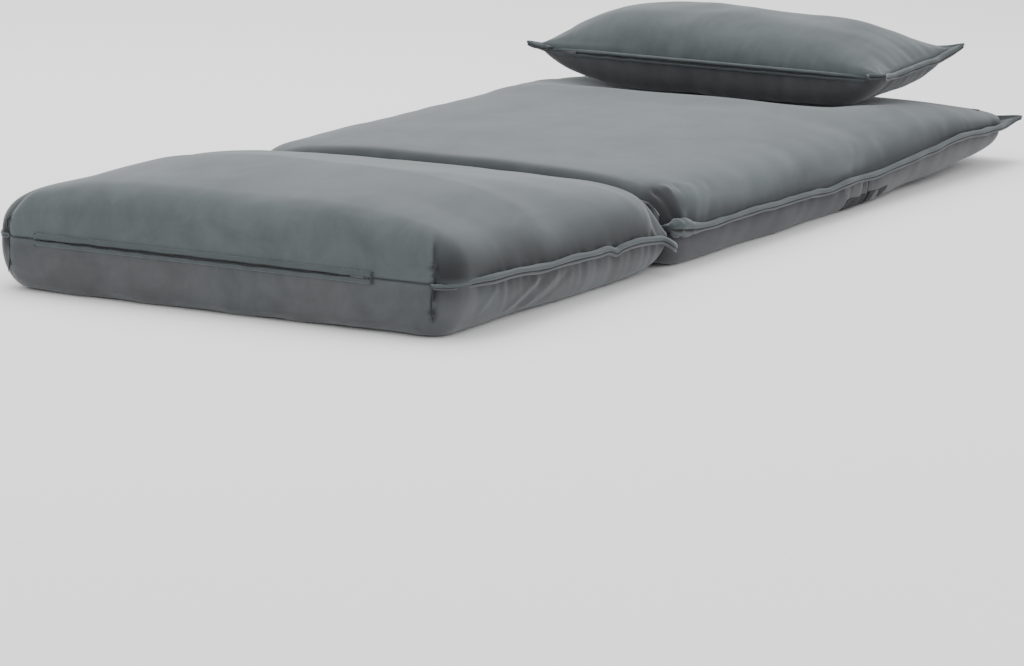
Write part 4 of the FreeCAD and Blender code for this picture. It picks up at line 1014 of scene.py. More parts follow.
def lower_surface(y, seed):
    """The lower pad of the seat or the back, with soft waves and puckers under the flange, a lid, and painted
    shade just under the flange.
    """
    half, low, seam = mattress_sections(y)[:3]
    x_under, z_under = belly_curve(LOWER_COLUMNS, half, low, seam - 0.001, MATTRESS_BELLY_SIDE)
    rings = flat_caps(lidded(y, x_under, z_under, seam - 0.001))
    first, last = y[0], y[-1]
    x, y, z = rings[..., 0], rings[..., 1], rings[..., 2]
    seam = mattress_seam(y)
    side = smooth(np.abs(x), 0.29, 0.33)
    amount = 0.0009 * waves(rings, 0.16, seed) * side
    pucker = wander(y - 0.5 * (z - seam), 0.060, seed + 1) * np.exp(-np.abs(z - seam) / 0.018) * side
    amount = amount + 0.0006 * pucker + side_swell(z) * side
    ends = smooth(y, first - 0.001, first + 0.012) * (1.0 - smooth(y, last - 0.012, last + 0.001))
    amount = amount * ends * (1.0 - smooth(z, seam - 0.004, seam - 0.001))
    points = raised(rings, amount)
    points[..., 2] = np.where(z < 0.003, np.maximum(points[..., 2], z), points[..., 2])
    points[..., 2] = np.maximum(points[..., 2], 0.0)
    # Painted shade in a band just under the flange
    fold = 0.6 * bell(z, seam - 0.004, 0.008) * side
    rub = np.clip(0.3 * (waves(rings, 0.04, seed + 2) - 0.6), 0.0, 0.3) * side
    return points, {"fold": fold, "rub": rub}


def panel_piece(name, start, end, low_z, high_z, side, slot, proud=0.0009, slant=0.0, place=np.copy):
    """A thin cloth panel on the side of the mattress: the belly curve between two heights, stood proud. Its
    first edge may slant, and place carries it to where the mattress lies."""
    u = np.linspace(0.0, 1.0, 60)
    v = np.linspace(0.0, 1.0, 22)
    flat_y = start + (end - start) * u
    y = flat_y[:, None] + slant * (1.0 - v)[None, :] * (1.0 - u)[:, None]
    z = np.repeat((low_z + (high_z - low_z) * v)[None, :], len(u), axis=0)
    half, low, seam = mattress_sections(flat_y)[:3]
    rise = np.clip((z - low[:, None]) / (seam - 0.001 - low)[:, None], 0.0, 1.0)
    cosine = (1.0 - rise) ** (BELLY_FULLNESS / 2.0)
    sine = np.sqrt(np.clip(1.0 - cosine ** 2, 0.0, 1.0))
    x = (half - MATTRESS_BELLY_SIDE)[:, None] + MATTRESS_BELLY_SIDE * sine ** (2.0 / BELLY_FULLNESS)
    from_end = np.minimum(u, 1.0 - u)[:, None] * (end - start)
    from_rim = np.minimum(v, 1.0 - v)[None, :] * (high_z - low_z)
    edge = np.minimum(from_end, from_rim)
    ripple = 0.0006 * wander(y, 0.03, 61) * smooth(edge, 0.0, 0.008)
    x = x + side_swell(z) + proud * smooth(edge, 0.0, 0.003) + ripple
    outer = np.stack([side * x, y, z], axis=-1)
    inner = outer - np.array([side * PANEL_THICKNESS, 0.0, 0.0])
    rings = folded_ends(np.concatenate([outer, inner[:, ::-1]], axis=1))
    return rings_piece(name, place(rings), slot)


# Where the gussets and the patches beside the fold start, and how far they and the pads keep off the fold
PANEL_THICKNESS = 0.0011
GUSSET_START = FOLD_Y - 0.090
PATCH_START = FOLD_Y - 0.076
PATCH_GAP = 0.004
PATCH_HEIGHTS = (0.001, 0.022)
PATCH_PROUD = 0.0018
SLIT = 0.0015


class OBJECT_OT_chair_bed_mattress(bpy.types.Operator):
    """The upper pad over seat and back, and a lower pad under each"""
    bl_idname = "object.chair_bed_mattress"
    bl_label = "Seat and back pads"

    def execute(self, context):
        points, levels = mattress_top_surface()
        top = rings_piece("mattress_top", points, "velvet_grey", levels)
        nodes = ["seat_cover_top", "back_cover_top", "fold_cover_strip", "fold_foam_wedge",
                 "seat_foam_top", "back_foam_top"]
        span = ("seat", "back", (0.0, FOLD_Y - 0.075, 0.0), (0.0, FOLD_Y + 0.075, 0.0))
        settled(top, nodes, blend=span)
        points, levels = lower_surface(spread(MATTRESS_START, FOLD_Y - SLIT, 0.004, 0.007, 0.08), 51)
        seat = rings_piece("seat_lower_pad", points, "velvet_charcoal", levels)
        nodes = ["seat_border", "seat_base_panel", "seat_foam_base"]
        settled(seat, nodes, body="seat")
        points, levels = lower_surface(spread(FOLD_Y + SLIT, MATTRESS_END, 0.004, 0.007, 0.09), 55)
        back = rings_piece("back_lower_pad", turned_back(points), "velvet_side", levels)
        nodes = ["back_border", "back_base_panel", "back_foam_base"]
        settled(back, nodes, body="back")
        return {"FINISHED"}


class OBJECT_OT_chair_bed_panels(bpy.types.Operator):
    """The gussets and the black patches beside the fold"""
    bl_idname = "object.chair_bed_panels"
    bl_label = "Gussets and corner patches"

    def execute(self, context):
        for side, word in ((1, "right"), (-1, "left")):
            gusset = panel_piece("seat_gusset_" + word, GUSSET_START, FOLD_Y - SLIT - 0.0005, 0.004,
                                 FOLD_SEAM - 0.003, side, "velvet_side", slant=0.008)
            settled(gusset, ["seat_gussets"], body="seat")
            patch = panel_piece("seat_patch_" + word, PATCH_START, FOLD_Y - PATCH_GAP, *PATCH_HEIGHTS, side,
                                "base_cloth", PATCH_PROUD)
            settled(patch, ["seat_corner_patches"], body="seat")
            patch = panel_piece("back_patch_" + word, FOLD_Y + PATCH_GAP, 2 * FOLD_Y - PATCH_START,
                                *PATCH_HEIGHTS, side, "base_cloth", PATCH_PROUD, place=turned_back)
            settled(patch, ["back_corner_patches"], body="back")
        return {"FINISHED"}


# Corner of the mattress flange: its length along Y, and the share of it that runs out to the ear
HEAD_CORNER = MATTRESS_SIDE_HEAD_ROUND[0]
EAR_SHARE = 0.62
EAR_OUT = 0.004
EAR_PAST = 0.003


def mattress_flange_lines():
    """Inner and outer line of the mattress flange in plan, from the crease round the head end and back: a
    straight side, a sagging line out to the ear, a line back to the head end, and the head end itself, drawn
    in at its middle. The left half mirrors the right."""
    side_y = spread(MATTRESS_START + 0.002, MATTRESS_END - HEAD_CORNER, 0.004, 0.006, 0.06)
    half = mattress_sections(side_y)[0]
    out = FLANGE_HALF - 0.0012 + 0.0004 * wander(side_y, 0.10, 71)
    out = out - shared(side_y - MATTRESS_START, 0.03, 0.012)
    turn = np.linspace(0.0, 1.0, 34)[1:]
    corner_y = MATTRESS_END - HEAD_CORNER + HEAD_CORNER * np.sin(turn * math.pi / 2.0)
    corner_half = BODY_HALF - shared(MATTRESS_END - corner_y, *MATTRESS_SIDE_HEAD_ROUND)
    last_x = BODY_HALF - MATTRESS_SIDE_HEAD_ROUND[1]
    first = np.array([out[-1], side_y[-1]])
    ear = np.array([FLANGE_HALF + EAR_OUT, HEAD_TIP + EAR_PAST])
    last = np.array([last_x, HEAD_TIP - 0.0085])
    there = (turn / EAR_SHARE)[:, None]
    back = ((turn - EAR_SHARE) / (1.0 - EAR_SHARE))[:, None]
    bend = np.where(there < 1.0, first + (ear - first) * there ** 0.9, ear + (last - ear) * back)
    sag = 0.004 * np.sin(math.pi * np.clip(turn / EAR_SHARE, 0.0, 1.0))
    bend[:, 0] -= np.where(turn < EAR_SHARE, sag, 0.0)
    head_x = np.linspace(last_x, 0.0, 60)[1:]
    pull = 0.008 * (1.0 - (head_x / FLANGE_HALF) ** 2)
    head_y = HEAD_TIP - 0.001 - pull + 0.0006 * wander(head_x, 0.07, 72)
    inner = np.concatenate([
        np.stack([half - 0.001, side_y], axis=-1),
        np.stack([corner_half - 0.001, corner_y - 0.001], axis=-1),
        np.stack([head_x, np.full_like(head_x, MATTRESS_END - 0.002)], axis=-1),
    ])
    outer = np.concatenate([np.stack([out, side_y], axis=-1), bend, np.stack([head_x, head_y], axis=-1)])
    mirror = np.array([-1.0, 1.0])
    return [np.concatenate([line, line[::-1][1:] * mirror]) for line in (inner, outer)]


class OBJECT_OT_chair_bed_mattress_flange(bpy.types.Operator):
    """The rolled flange round seat and back, gathered at the crease and eared at the head corners"""
    bl_idname = "object.chair_bed_mattress_flange"
    bl_label = "Seat and back flange"

    def execute(self, context):
        inner, outer = mattress_flange_lines()
        run = along(outer)
        from_crease = outer[:, 1] - MATTRESS_START
        z = mattress_seam(inner[:, 1]) + 0.0007 * wander(run, 0.22, 73)
        z = z + 0.006 * (1.0 - smooth(from_crease, 0.0, 0.07))
        droop = 0.0012 + 0.0006 * wander(run, 0.16, 74)
        ear = bell(np.abs(outer[:, 0]), FLANGE_HALF, 0.03) * bell(outer[:, 1], HEAD_TIP, 0.03)
        inner = laid(np.concatenate([inner, z[:, None]], axis=1), 0.03)
        outer = laid(np.concatenate([outer, (z - droop + 0.006 * ear)[:, None]], axis=1), 0.03)
        fat = 1.0 + 1.3 * (1.0 - smooth(from_crease, 0.010, 0.110)) * smooth(from_crease, -0.004, 0.010)
        ties = 1.0 - 0.34 * bell(from_crease, 0.020, 0.004) - 0.20 * bell(from_crease, 0.052, 0.005)
        radius = 0.90 * context.scene.chair_bed_sizes.flange_roll * (1.0 + 0.06 * wander(run, 0.07, 75))
        radius = np.maximum(radius * fat * ties * (1.0 - 0.35 * ear), 0.0015)
        piece = flange_piece("mattress_flange", inner, outer, radius)
        span = ("seat", "back", (0.0, FOLD_Y - 0.06, 0.0), (0.0, FOLD_Y + 0.06, 0.0))
        settled(piece, ["seat_piping", "back_piping"], blend=span)
        return {"FINISHED"}


# Pillow

def pillow_outline(a, b, half_x, half_y, pull):
    """Plan of the pillow for a and b from -1 to 1: straight lines drawn in at the middle of each side."""
    x = half_x * a - pull * a ** 3 * (1.0 - b ** 4)
    y = half_y * b - pull * b ** 3 * (1.0 - a ** 4)
    return x, y


def crowded(count, share):
    """Values from -1 to 1 that crowd towards both ends: a share of a sine, the rest evenly spaced."""
    t = np.linspace(0.0, 1.0, count)
    return share * np.sin((t - 0.5) * math.pi) + (1.0 - share) * (2.0 * t - 1.0)


def arched(a, b, powers):
    """Height of an arched sheet: 1 less |a| to one power, and 1 less |b| to another, each to its own root."""
    power_a, power_b, root_a, root_b = powers
    edge_a = np.clip(1.0 - np.abs(a) ** power_a, 0.0, 1.0)
    edge_b = np.clip(1.0 - np.abs(b) ** power_b, 0.0, 1.0)
    return edge_a ** root_a * edge_b ** root_b


def pillow_surface(columns=150, rows=92):
    """Crown and belly over the same plan, arched up and down from the seam, which rises into the corners. The
    crown leans to -X.

    Both carry waves, gathers along the seam and, on the crown, folds that fan out of the corners; the folds
    fade at the seam."""
    a, b = np.meshgrid(crowded(columns, 0.75), crowded(rows, 0.85), indexing="ij")
    half_x = PILLOW_HALF_X - PILLOW_FLANGE
    half_y = PILLOW_HALF_Y - PILLOW_FLANGE
    x, y = pillow_outline(a, b, half_x, half_y, PILLOW_PULL)
    crown = PILLOW_UP * (1.0 - PILLOW_LEAN * a) * arched(a, b, (3.4, 2.6, 0.60, 0.52))
    belly = PILLOW_BELLY * arched(a, b, (5.0, 5.0, 0.60, 0.50))
    seam = PILLOW_REST + PILLOW_DOWN + PILLOW_EAR_LIFT * np.abs(a) ** 6 * np.abs(b) ** 4
    over = np.stack([x, y, seam + crown], axis=-1)
    under = np.stack([x, y, seam - belly], axis=-1)
    from_a = (1.0 - np.abs(a)) * half_x
    from_b = (1.0 - np.abs(b)) * half_y
    edge = np.minimum(from_a, from_b)
    gather = wander(x, 0.042, 83) * np.exp(-from_b / 0.030) + wander(y, 0.034, 84) * np.exp(-from_a / 0.035)
    corner = np.exp(-(from_a + from_b) / 0.075)
    fan = np.arctan2(from_b, from_a + 1e-4)
    folds = 0.0011 * waves(over, 0.14, 81) + 0.0004 * waves(over, 0.06, 82) + 0.0005 * gather
    folds = folds + 0.0010 * corner * np.cos(fan * 7.0 + np.sign(a) + 2.0 * np.sign(b))
    low_folds = 0.0010 * waves(under, 0.10, 85) + 0.0008 * gather
    over[..., 2] += folds * smooth(edge, 0.0, 0.008)
    under[..., 2] -= low_folds * smooth(edge, 0.0, 0.008)
    under[..., 2] = np.maximum(under[..., 2], PILLOW_REST - 0.0008)
    # Painted shade round the seam and in the hollows of the gathers
    fold = 0.08 * np.exp(-edge / 0.0022) + 0.12 * np.clip(-gather, 0.0, 1.0) * np.exp(-edge / 0.02)
    rub = rubbed(over, 0.15, (86, 87), 0.15, 0.3)
    # Painted shade fading in from the seam all round
    low = 0.10 * np.exp(-edge / 0.016)
    return over, under, {"fold": fold, "rub": rub, "low": low}


def pillow_flange_lines(roll):
    """Inner and outer line and roll radius of the pillow's flange: both lines run round the plan from one end
    of the zip to the other, the outer one out to the ears."""
    side = 70
    cut = PILLOW_ZIP_HALF / (PILLOW_HALF_X - PILLOW_FLANGE)
    ease = np.sin(np.linspace(-0.5, 0.5, side) * math.pi)
    ones = np.ones(side)
    a = np.concatenate([np.linspace(cut, 1.0, 10), ones, -ease, -ones, np.linspace(-1.0, -cut, 10)])
    b = np.concatenate([-np.ones(10), ease, ones, -ease, -np.ones(10)])
    half_x = PILLOW_HALF_X - PILLOW_FLANGE
    half_y = PILLOW_HALF_Y - PILLOW_FLANGE
    x_in, y_in = pillow_outline(a, b, half_x, half_y, PILLOW_PULL)
    x_out, y_out = pillow_outline(a, b, PILLOW_HALF_X - 0.001, PILLOW_HALF_Y - 0.001, 0.011)
    corner = np.abs(a) ** 10 * np.abs(b) ** 10
    run = along(np.stack([x_out, y_out], axis=-1))
    wave = 0.0007 * wander(run, 0.06, 91) * (1.0 - corner)
    seam = PILLOW_REST + PILLOW_DOWN + PILLOW_EAR_LIFT * np.abs(a) ** 6 * np.abs(b) ** 4
    z = seam + 0.0006 * wander(run, 0.13, 92)
    droop = 0.001 + 0.0006 * wander(run, 0.11, 93) - 0.003 * corner
    inner = np.stack([x_in * (1.0 - 0.004), y_in * (1.0 - 0.006), z], axis=-1)
    outer = np.stack([x_out + wave, y_out + wave, z - droop], axis=-1)
    radius = roll * 0.92 * (1.0 + 0.08 * wander(run, 0.05, 94)) * (1.0 - 0.30 * corner)
    keep = np.concatenate([[True], np.diff(run) > 1e-5])
    return inner[keep], outer[keep], radius[keep]


def pillow_place(points):
    """Moves pillow points from the pillow's own plan to its place on the back."""
    return turned_back(points + np.array([PILLOW_CENTRE_X, FOLD_Y + PILLOW_FROM_FOLD, 0.0]))


class OBJECT_OT_chair_bed_pillow(bpy.types.Operator):
    """The loose pillow with its flange and eared corners"""
    bl_idname = "object.chair_bed_pillow"
    bl_label = "Pillow"

    def execute(self, context):
        over, under, levels = pillow_surface()
        rows, cols = over.shape[:2]
        points = pillow_place(np.concatenate([over.reshape(-1, 3), under.reshape(-1, 3)]))
        upper = grid_quads(rows, cols, False)
        lower = grid_quads(rows, cols, False, rows * cols)[:, ::-1]
        none = np.zeros(rows * cols)
        below = {"rub": none, "low": none, "fold": levels["fold"].ravel()}
        levels = {key: np.concatenate([values.ravel(), below[key]]) for key, values in levels.items()}
        # Painted shade: the inside of the belly takes the shaded copy of the cloth
        inside = np.zeros((rows, cols))
        inside[1:-1, 1:-1] = 1.0
        levels["under"] = np.concatenate([none, inside.ravel()])
        piece = made("pillow_cushion", points, np.concatenate([upper, lower]), "velvet_grey", 2e-6, levels)
        nodes = ["pillow_cover_top", "pillow_cover_bottom", "pillow_filling"]
        settled(piece, nodes, body="pillow")
        inner, outer, radius = pillow_flange_lines(context.scene.chair_bed_sizes.flange_roll)
        flange = flange_piece("pillow_flange", pillow_place(inner), pillow_place(outer), radius)
        settled(flange, ["pillow_piping"], body="pillow")
        return {"FINISHED"}


# Zips

# Outline of one lip of a placket: how far out, and the share of its height; it is arched and folded back
LIP_OUT = 0.0069
LIP_SHAPE = np.array([(-0.0020, 1.00), (0.0012, 1.03), (0.0034, 0.98), (0.0052, 0.86), (0.0064, 0.66),
                      (0.0069, 0.42), (0.0068, 0.18), (0.0062, 0.03), (0.0055, 0.02), (0.0052, 0.16),
                      (0.0051, 0.45), (0.0046, 0.66), (0.0030, 0.76), (-0.0020, 0.80)])
LIP_FOLDED = 7
LIP_HEIGHT = 0.0078
LIP_PROUD = 0.0067

# Bar tacks: half height, thread radius, how much it swells at each stitch and the stitches' spacing
TACK_HALF = 0.0082
TACK_THREAD = 0.0011
TACK_SWELL = 0.00022
TACK_STITCH = 0.0014

# Coils: spacing and radius of the turns, and the wire's radius
COIL_PITCH = 0.0016
COIL_RADIUS = 0.00085
COIL_WIRE = 0.00028

# Zip of the pillow: its length, and the y and the height of its face before the back is tilted
PILLOW_ZIP_LENGTH = 2.0 * PILLOW_ZIP_HALF - 0.010
PILLOW_ZIP_Y = FOLD_Y + PILLOW_FROM_FOLD - (PILLOW_HALF_Y - PILLOW_FLANGE) + 0.008
PILLOW_ZIP_Z = PILLOW_REST + PILLOW_DOWN


def carried(x, out, rise):
    """Rings across X: the outline of each row of out and rise, towards -Y and upward, at its own x."""
    x, out, rise = np.broadcast_arrays(x[:, None], out, rise)
    return np.stack([x, -out, rise], axis=-1)


def lip_rings(length, centre, sign, scale, seed):
    """One folded lip of a zip placket: an arched outline carried along X, its free edge bowed off the zip."""
    x = np.linspace(-length / 2.0, length / 2.0, 160)
    gap = 0.0006 + 0.0013 * (1.0 - (2.0 * x / length) ** 2) + 0.00035 * wander(x, 0.05, seed)
    out = LIP_SHAPE[:, 0] * (LIP_PROUD * scale / LIP_OUT)
    out = out + 0.0003 * wander(x, 0.035, seed + 1)[:, None] * (LIP_SHAPE[:, 0] > 0.002)
    rise = gap[:, None] + LIP_SHAPE[:, 1] * (LIP_HEIGHT * scale - gap)[:, None]
    return tube_caps(carried(centre + x, out, sign * rise), 0.001, 0.001, 3)


def tack_rings(length, centre, end, scale):
    """One bar tack at the end of a placket: a stitched thread that stands across both lips."""
    z = np.linspace(-TACK_HALF, TACK_HALF, 24) * scale
    turn = np.linspace(0.0, 2.0 * math.pi, 10, endpoint=False)
    thread = (TACK_THREAD + TACK_SWELL * np.cos(z / TACK_STITCH * 2.0 * math.pi))[:, None]
    x = centre + end * (length / 2.0 + 0.0006) + 1.1 * thread * np.cos(turn)
    proud = scale * (0.0050 + 0.0019 * (1.0 - (z / scale / 0.0086) ** 6))
    y = 0.0019 - proud[:, None] + thread * np.sin(turn)
    return tube_caps(np.stack([x, y, np.repeat(z[:, None], 10, axis=1)], axis=-1), 0.0006, 0.0006, 3)


def placket_piece(name, length, centre, scale, shift, place):
    """Both lips of a placket with a bar tack at each end; the lips' folded backs carry painted shade and the
    tacks are darkened.
    """
    lips = [lip_rings(length, centre, sign, scale, seed) for sign, seed in ((1.0, 101), (-1.0, 111))]
    tacks = [tack_rings(length, centre, end, scale) for end in (-1.0, 1.0)]
    points, quads = joined(lips + tacks)
    # Painted shade on the lips' folded backs; the tacks are darkened
    level = np.where(np.arange(len(LIP_SHAPE)) >= LIP_FOLDED, 0.9, 0.0)
    fold = [np.broadcast_to(level, rings.shape[:2]).ravel() for rings in lips]
    fold = fold + [np.full(rings.shape[0] * rings.shape[1], 0.55) for rings in tacks]
    return made(name, place(points + shift), quads, "flange_velvet", 1e-6, {"fold": np.concatenate(fold)})


def coil_piece(name, length, centre, shift, place):
    """Two nylon coils: each turn is a small bent loop round its tape edge, repeated along X."""
    half = length / 2.0
    starts = centre + np.arange(-half + 0.018, half - 0.008, COIL_PITCH)
    turn = np.linspace(-0.42, 1.42, 8) * math.pi
    loop = np.stack([np.linspace(-0.0003, 0.0003, 8), -0.0021 + COIL_RADIUS * np.sin(turn),
                     0.0011 - COIL_RADIUS * np.cos(turn)], axis=-1)
    tube = np.linspace(0.0, 2.0 * math.pi, 5, endpoint=False)
    wire = COIL_WIRE * np.stack([np.cos(tube), np.sin(tube) * 0.5, np.sin(tube)], axis=-1)
    rings = tube_caps(loop[:, None, :] + wire[None], 0.00005, 0.00005, 2)
    faces = grid_quads(*rings.shape[:2], True)
    base = rings.reshape(-1, 3)
    upper = base[None] + np.multiply.outer(starts, (1.0, 0.0, 0.0))[:, None, :]
    points = np.concatenate([(upper * (1.0, 1.0, sign)).reshape(-1, 3) for sign in (1.0, -1.0)])
    offsets = (np.arange(2 * len(starts)) * len(base))[:, None, None]
    return made(name, place(points + shift), (faces[None] + offsets).reshape(-1, 4), "zip_coil", 1e-7)


def tape_piece(name, length, centre, shift, place):
    """Two flat woven tapes behind the lips: each a thin bar with a rounded outline carried along X."""
    x = centre + np.linspace(-length / 2.0, length / 2.0, 60)
    turn = np.linspace(0.0, 2.0 * math.pi, 16, endpoint=False)
    out = 0.0009 - 0.0004 * np.sin(turn)
    rise = 0.0031 + 0.0022 * np.cos(turn)
    runs = [tube_caps(carried(x, out, sign * rise), 0.0003, 0.0003, 3) for sign in (1.0, -1.0)]
    points, quads = joined(runs)
    return made(name, place(points + shift), quads, "zip_tape", 1e-7)


def slider_piece(name, middle, place):
    """A zip slider: a waisted body, a bridge over it and a hanging pull, each a rounded bar along X."""
    turn = np.linspace(0.0, 2.0 * math.pi, 20, endpoint=False)
    circle = np.stack([np.cos(turn), np.sin(turn)], axis=-1)
    rounded = np.sign(circle) * np.abs(circle) ** 0.6

    def bar(x, out, wide, deep):
        out, wide = [np.broadcast_to(value, x.shape)[:, None] for value in (out, wide)]
        rings = carried(x, out + deep * rounded[None, :, 1], wide * rounded[None, :, 0])
        return tube_caps(rings, 0.0004, 0.0004, 3)

    t = np.linspace(-1.0, 1.0, 15)
    u = np.linspace(0.0, 1.0, 19)
    body = bar(t * 0.0055, 0.0026, 0.0030 - 0.0009 * bell(t, 0.35, 0.4), 0.0014)
    bridge = bar(t * 0.0042, 0.0042 + 0.0011 * (1.0 - t ** 2), 0.0007, 0.0004)
    pull = bar(0.001 + u * 0.017, 0.0050 - 0.0008 * u, 0.0014 + 0.0016 * smooth(u, 0.1, 0.5), 0.0005)
    points, quads = joined([body, bridge, pull])
    return made(name, place(points + middle), quads, "zip_metal", 1e-7)


class OBJECT_OT_chair_bed_zips(bpy.types.Operator):
    """The zip plackets of the foot cushion and the pillow"""
    bl_idname = "object.chair_bed_zips"
    bl_label = "Zips"

    def execute(self, context):
        foot_face = np.array([0.0, FOOT_FACE_Y, FOOT_SEAM])
        pillow_face = np.array([0.0, PILLOW_ZIP_Y, PILLOW_ZIP_Z])
        zips = (("foot", FOOT_ZIP_LENGTH, FOOT_ZIP_X, 1.0, foot_face, np.copy),
                ("pillow", PILLOW_ZIP_LENGTH, PILLOW_CENTRE_X, PILLOW_LIP, pillow_face, turned_back))
        for body, length, centre, scale, face, place in zips:
            lips = placket_piece(body + "_placket_lips", length, centre, scale, face, place)
            settled(lips, [body + "_placket"], body=body)
            coil = coil_piece(body + "_coil_turns", length, centre, face, place)
            settled(coil, [body + "_zip_coils"], body=body)
        length = PILLOW_ZIP_LENGTH - 0.004
        tapes = tape_piece("pillow_tapes", length, PILLOW_CENTRE_X, pillow_face, turned_back)
        settled(tapes, ["pillow_zip_tapes"], body="pillow")
        middle = pillow_face + np.array([PILLOW_CENTRE_X - PILLOW_ZIP_LENGTH / 2.0 + 0.018, 0.0, 0.0])
        slider = slider_piece("pillow_slider_body", middle, turned_back)
        settled(slider, ["pillow_zip_slider"], body="pillow_slider")
        return {"FINISHED"}


# Cloth at the crease: half length, half width, height of its edges, sag and thickness
CREASE_HALF = 0.318
CREASE_WIDE = 0.0072
CREASE_TOP = 0.092
CREASE_SAG = 0.010
CREASE_THICKNESS = 0.0018


class OBJECT_OT_chair_bed_crease(bpy.types.Operator):
    """The gathered cloth that joins the foot cushion to the seat"""
    bl_idname = "object.chair_bed_crease"
    bl_label = "Crease cloth"

    def execute(self, context):
        x = spread(-CREASE_HALF, CREASE_HALF, 0.002, 0.005, 0.05)
        x, v = np.meshgrid(x, np.linspace(-1.0, 1.0, 15), indexing="ij")
        y = CREASE_Y + v * CREASE_WIDE + 0.0008 * wander(x + 0.01 * v, 0.02, 121)
        inward = 1.0 - v ** 2
        z = CREASE_TOP - CREASE_SAG * inward + 0.0022 * wander(x + v * 0.006, 0.022, 122) * inward
        z = z - 0.030 * shared(1.0 - np.abs(x) / CREASE_HALF, 0.10, 1.0)
        upper = np.stack([x, y, z], axis=-1)
        lower = upper - np.array([0.0, 0.0, CREASE_THICKNESS])
        rings = folded_ends(np.concatenate([upper, lower[:, ::-1]], axis=1))
        # Painted shade over the whole crease cloth
        levels = {"fold": np.full(rings.shape[:2], 0.35)}
        piece = rings_piece("crease_cloth", rings, "velvet_grey", levels)
        span = ("foot", "seat", (0.0, CREASE_Y - 0.006, 0.0), (0.0, CREASE_Y + 0.006, 0.0))
        settled(piece, ["crease_hinge_strip"], blend=span)
        return {"FINISHED"}


class OBJECT_OT_chair_bed_carried(bpy.types.Operator):
    """Finishes on the nodes that stay as they are"""
    bl_idname = "object.chair_bed_carried"
    bl_label = "Frame, hinges and slings"

    def execute(self, context):
        for row in frame["record"]["subparts"]:
            piece = frame["nodes"][row["node"]]
            piece.data.materials.clear()
            piece.data.materials.append(FINISHES[row["material_slot"]])
        return {"FINISHED"}


class OBJECT_OT_chair_bed_finishes(bpy.types.Operator):
    """The procedural materials of every slot"""
    bl_idname = "object.chair_bed_finishes"
    bl_label = "Finishes"

    def execute(self, context):
        colours = context.scene.chair_bed_colours
        FINISHES.update({
            "velvet_grey": velvet("velvet_grey", colours.velvet, colours.velvet_side),
            # velvet_side is the pile cloth darkened as painted shade; it is also each velvet's shaded copy
            "velvet_side": velvet("velvet_side", colours.velvet_side, colours.velvet_side),
            "velvet_charcoal": velvet("velvet_charcoal", colours.charcoal, colours.charcoal),
            # Flanges, dart rolls and zip lips: the top velvet darkened by a fifth as painted shade
            "flange_velvet": velvet("flange_velvet", shade(colours.velvet, 0.80), colours.velvet_side,
                                    nap=0.1),
            "base_cloth": woven("base_cloth", colours.base_cloth, 900.0),
            "foam": foam("foam", (0.85, 0.80, 0.62)),
            "fibre_fill": fibre("fibre_fill", (0.86, 0.86, 0.84)),
            "sling_mesh": woven("sling_mesh", (0.05, 0.05, 0.055), 500.0),
            "frame_paint": coated("frame_paint", (0.03, 0.03, 0.032)),
            "hinge_steel": plated("hinge_steel", (0.62, 0.63, 0.64)),
            "cap_plastic": moulded("cap_plastic", (0.03, 0.03, 0.03)),
            "zip_tape": woven("zip_tape", (0.06, 0.06, 0.065), 1800.0),
            "zip_coil": moulded("zip_coil", (0.07, 0.07, 0.075), 0.4),
            "zip_metal": plated("zip_metal", (0.09, 0.09, 0.095), 0.45),
        })
        return {"FINISHED"}


# Camera fitted to the photograph: angles in degrees, lengths in metres, the lens in pixels of a 1024 frame
CAMERA_AZIMUTH = 27.16
CAMERA_ELEVATION = 10.64
CAMERA_ROLL = 1.40
CAMERA_LENS_PIXELS = 5156.0
CAMERA_AIM = (0.0, -0.095, -0.151)
FRAME_WIDTH = 1024.0

# Studio: half size of the floor, strength of the white world, and each lamp's place, aim, size and watts
FLOOR_HALF = 30.0
WORLD_STRENGTH = 1.27
LAMPS = {
    "overhead": ((-0.9, 0.5, 3.4), (0.0, -0.1, 0.0), 3.2, 116.0),
    "front": ((-1.9, -4.2, 1.3), (0.0, -0.6, 0.1), 2.4, 34.0),
    "side": ((3.2, -2.6, 1.5), (0.0, 0.0, 0.1), 2.4, 20.0),
}


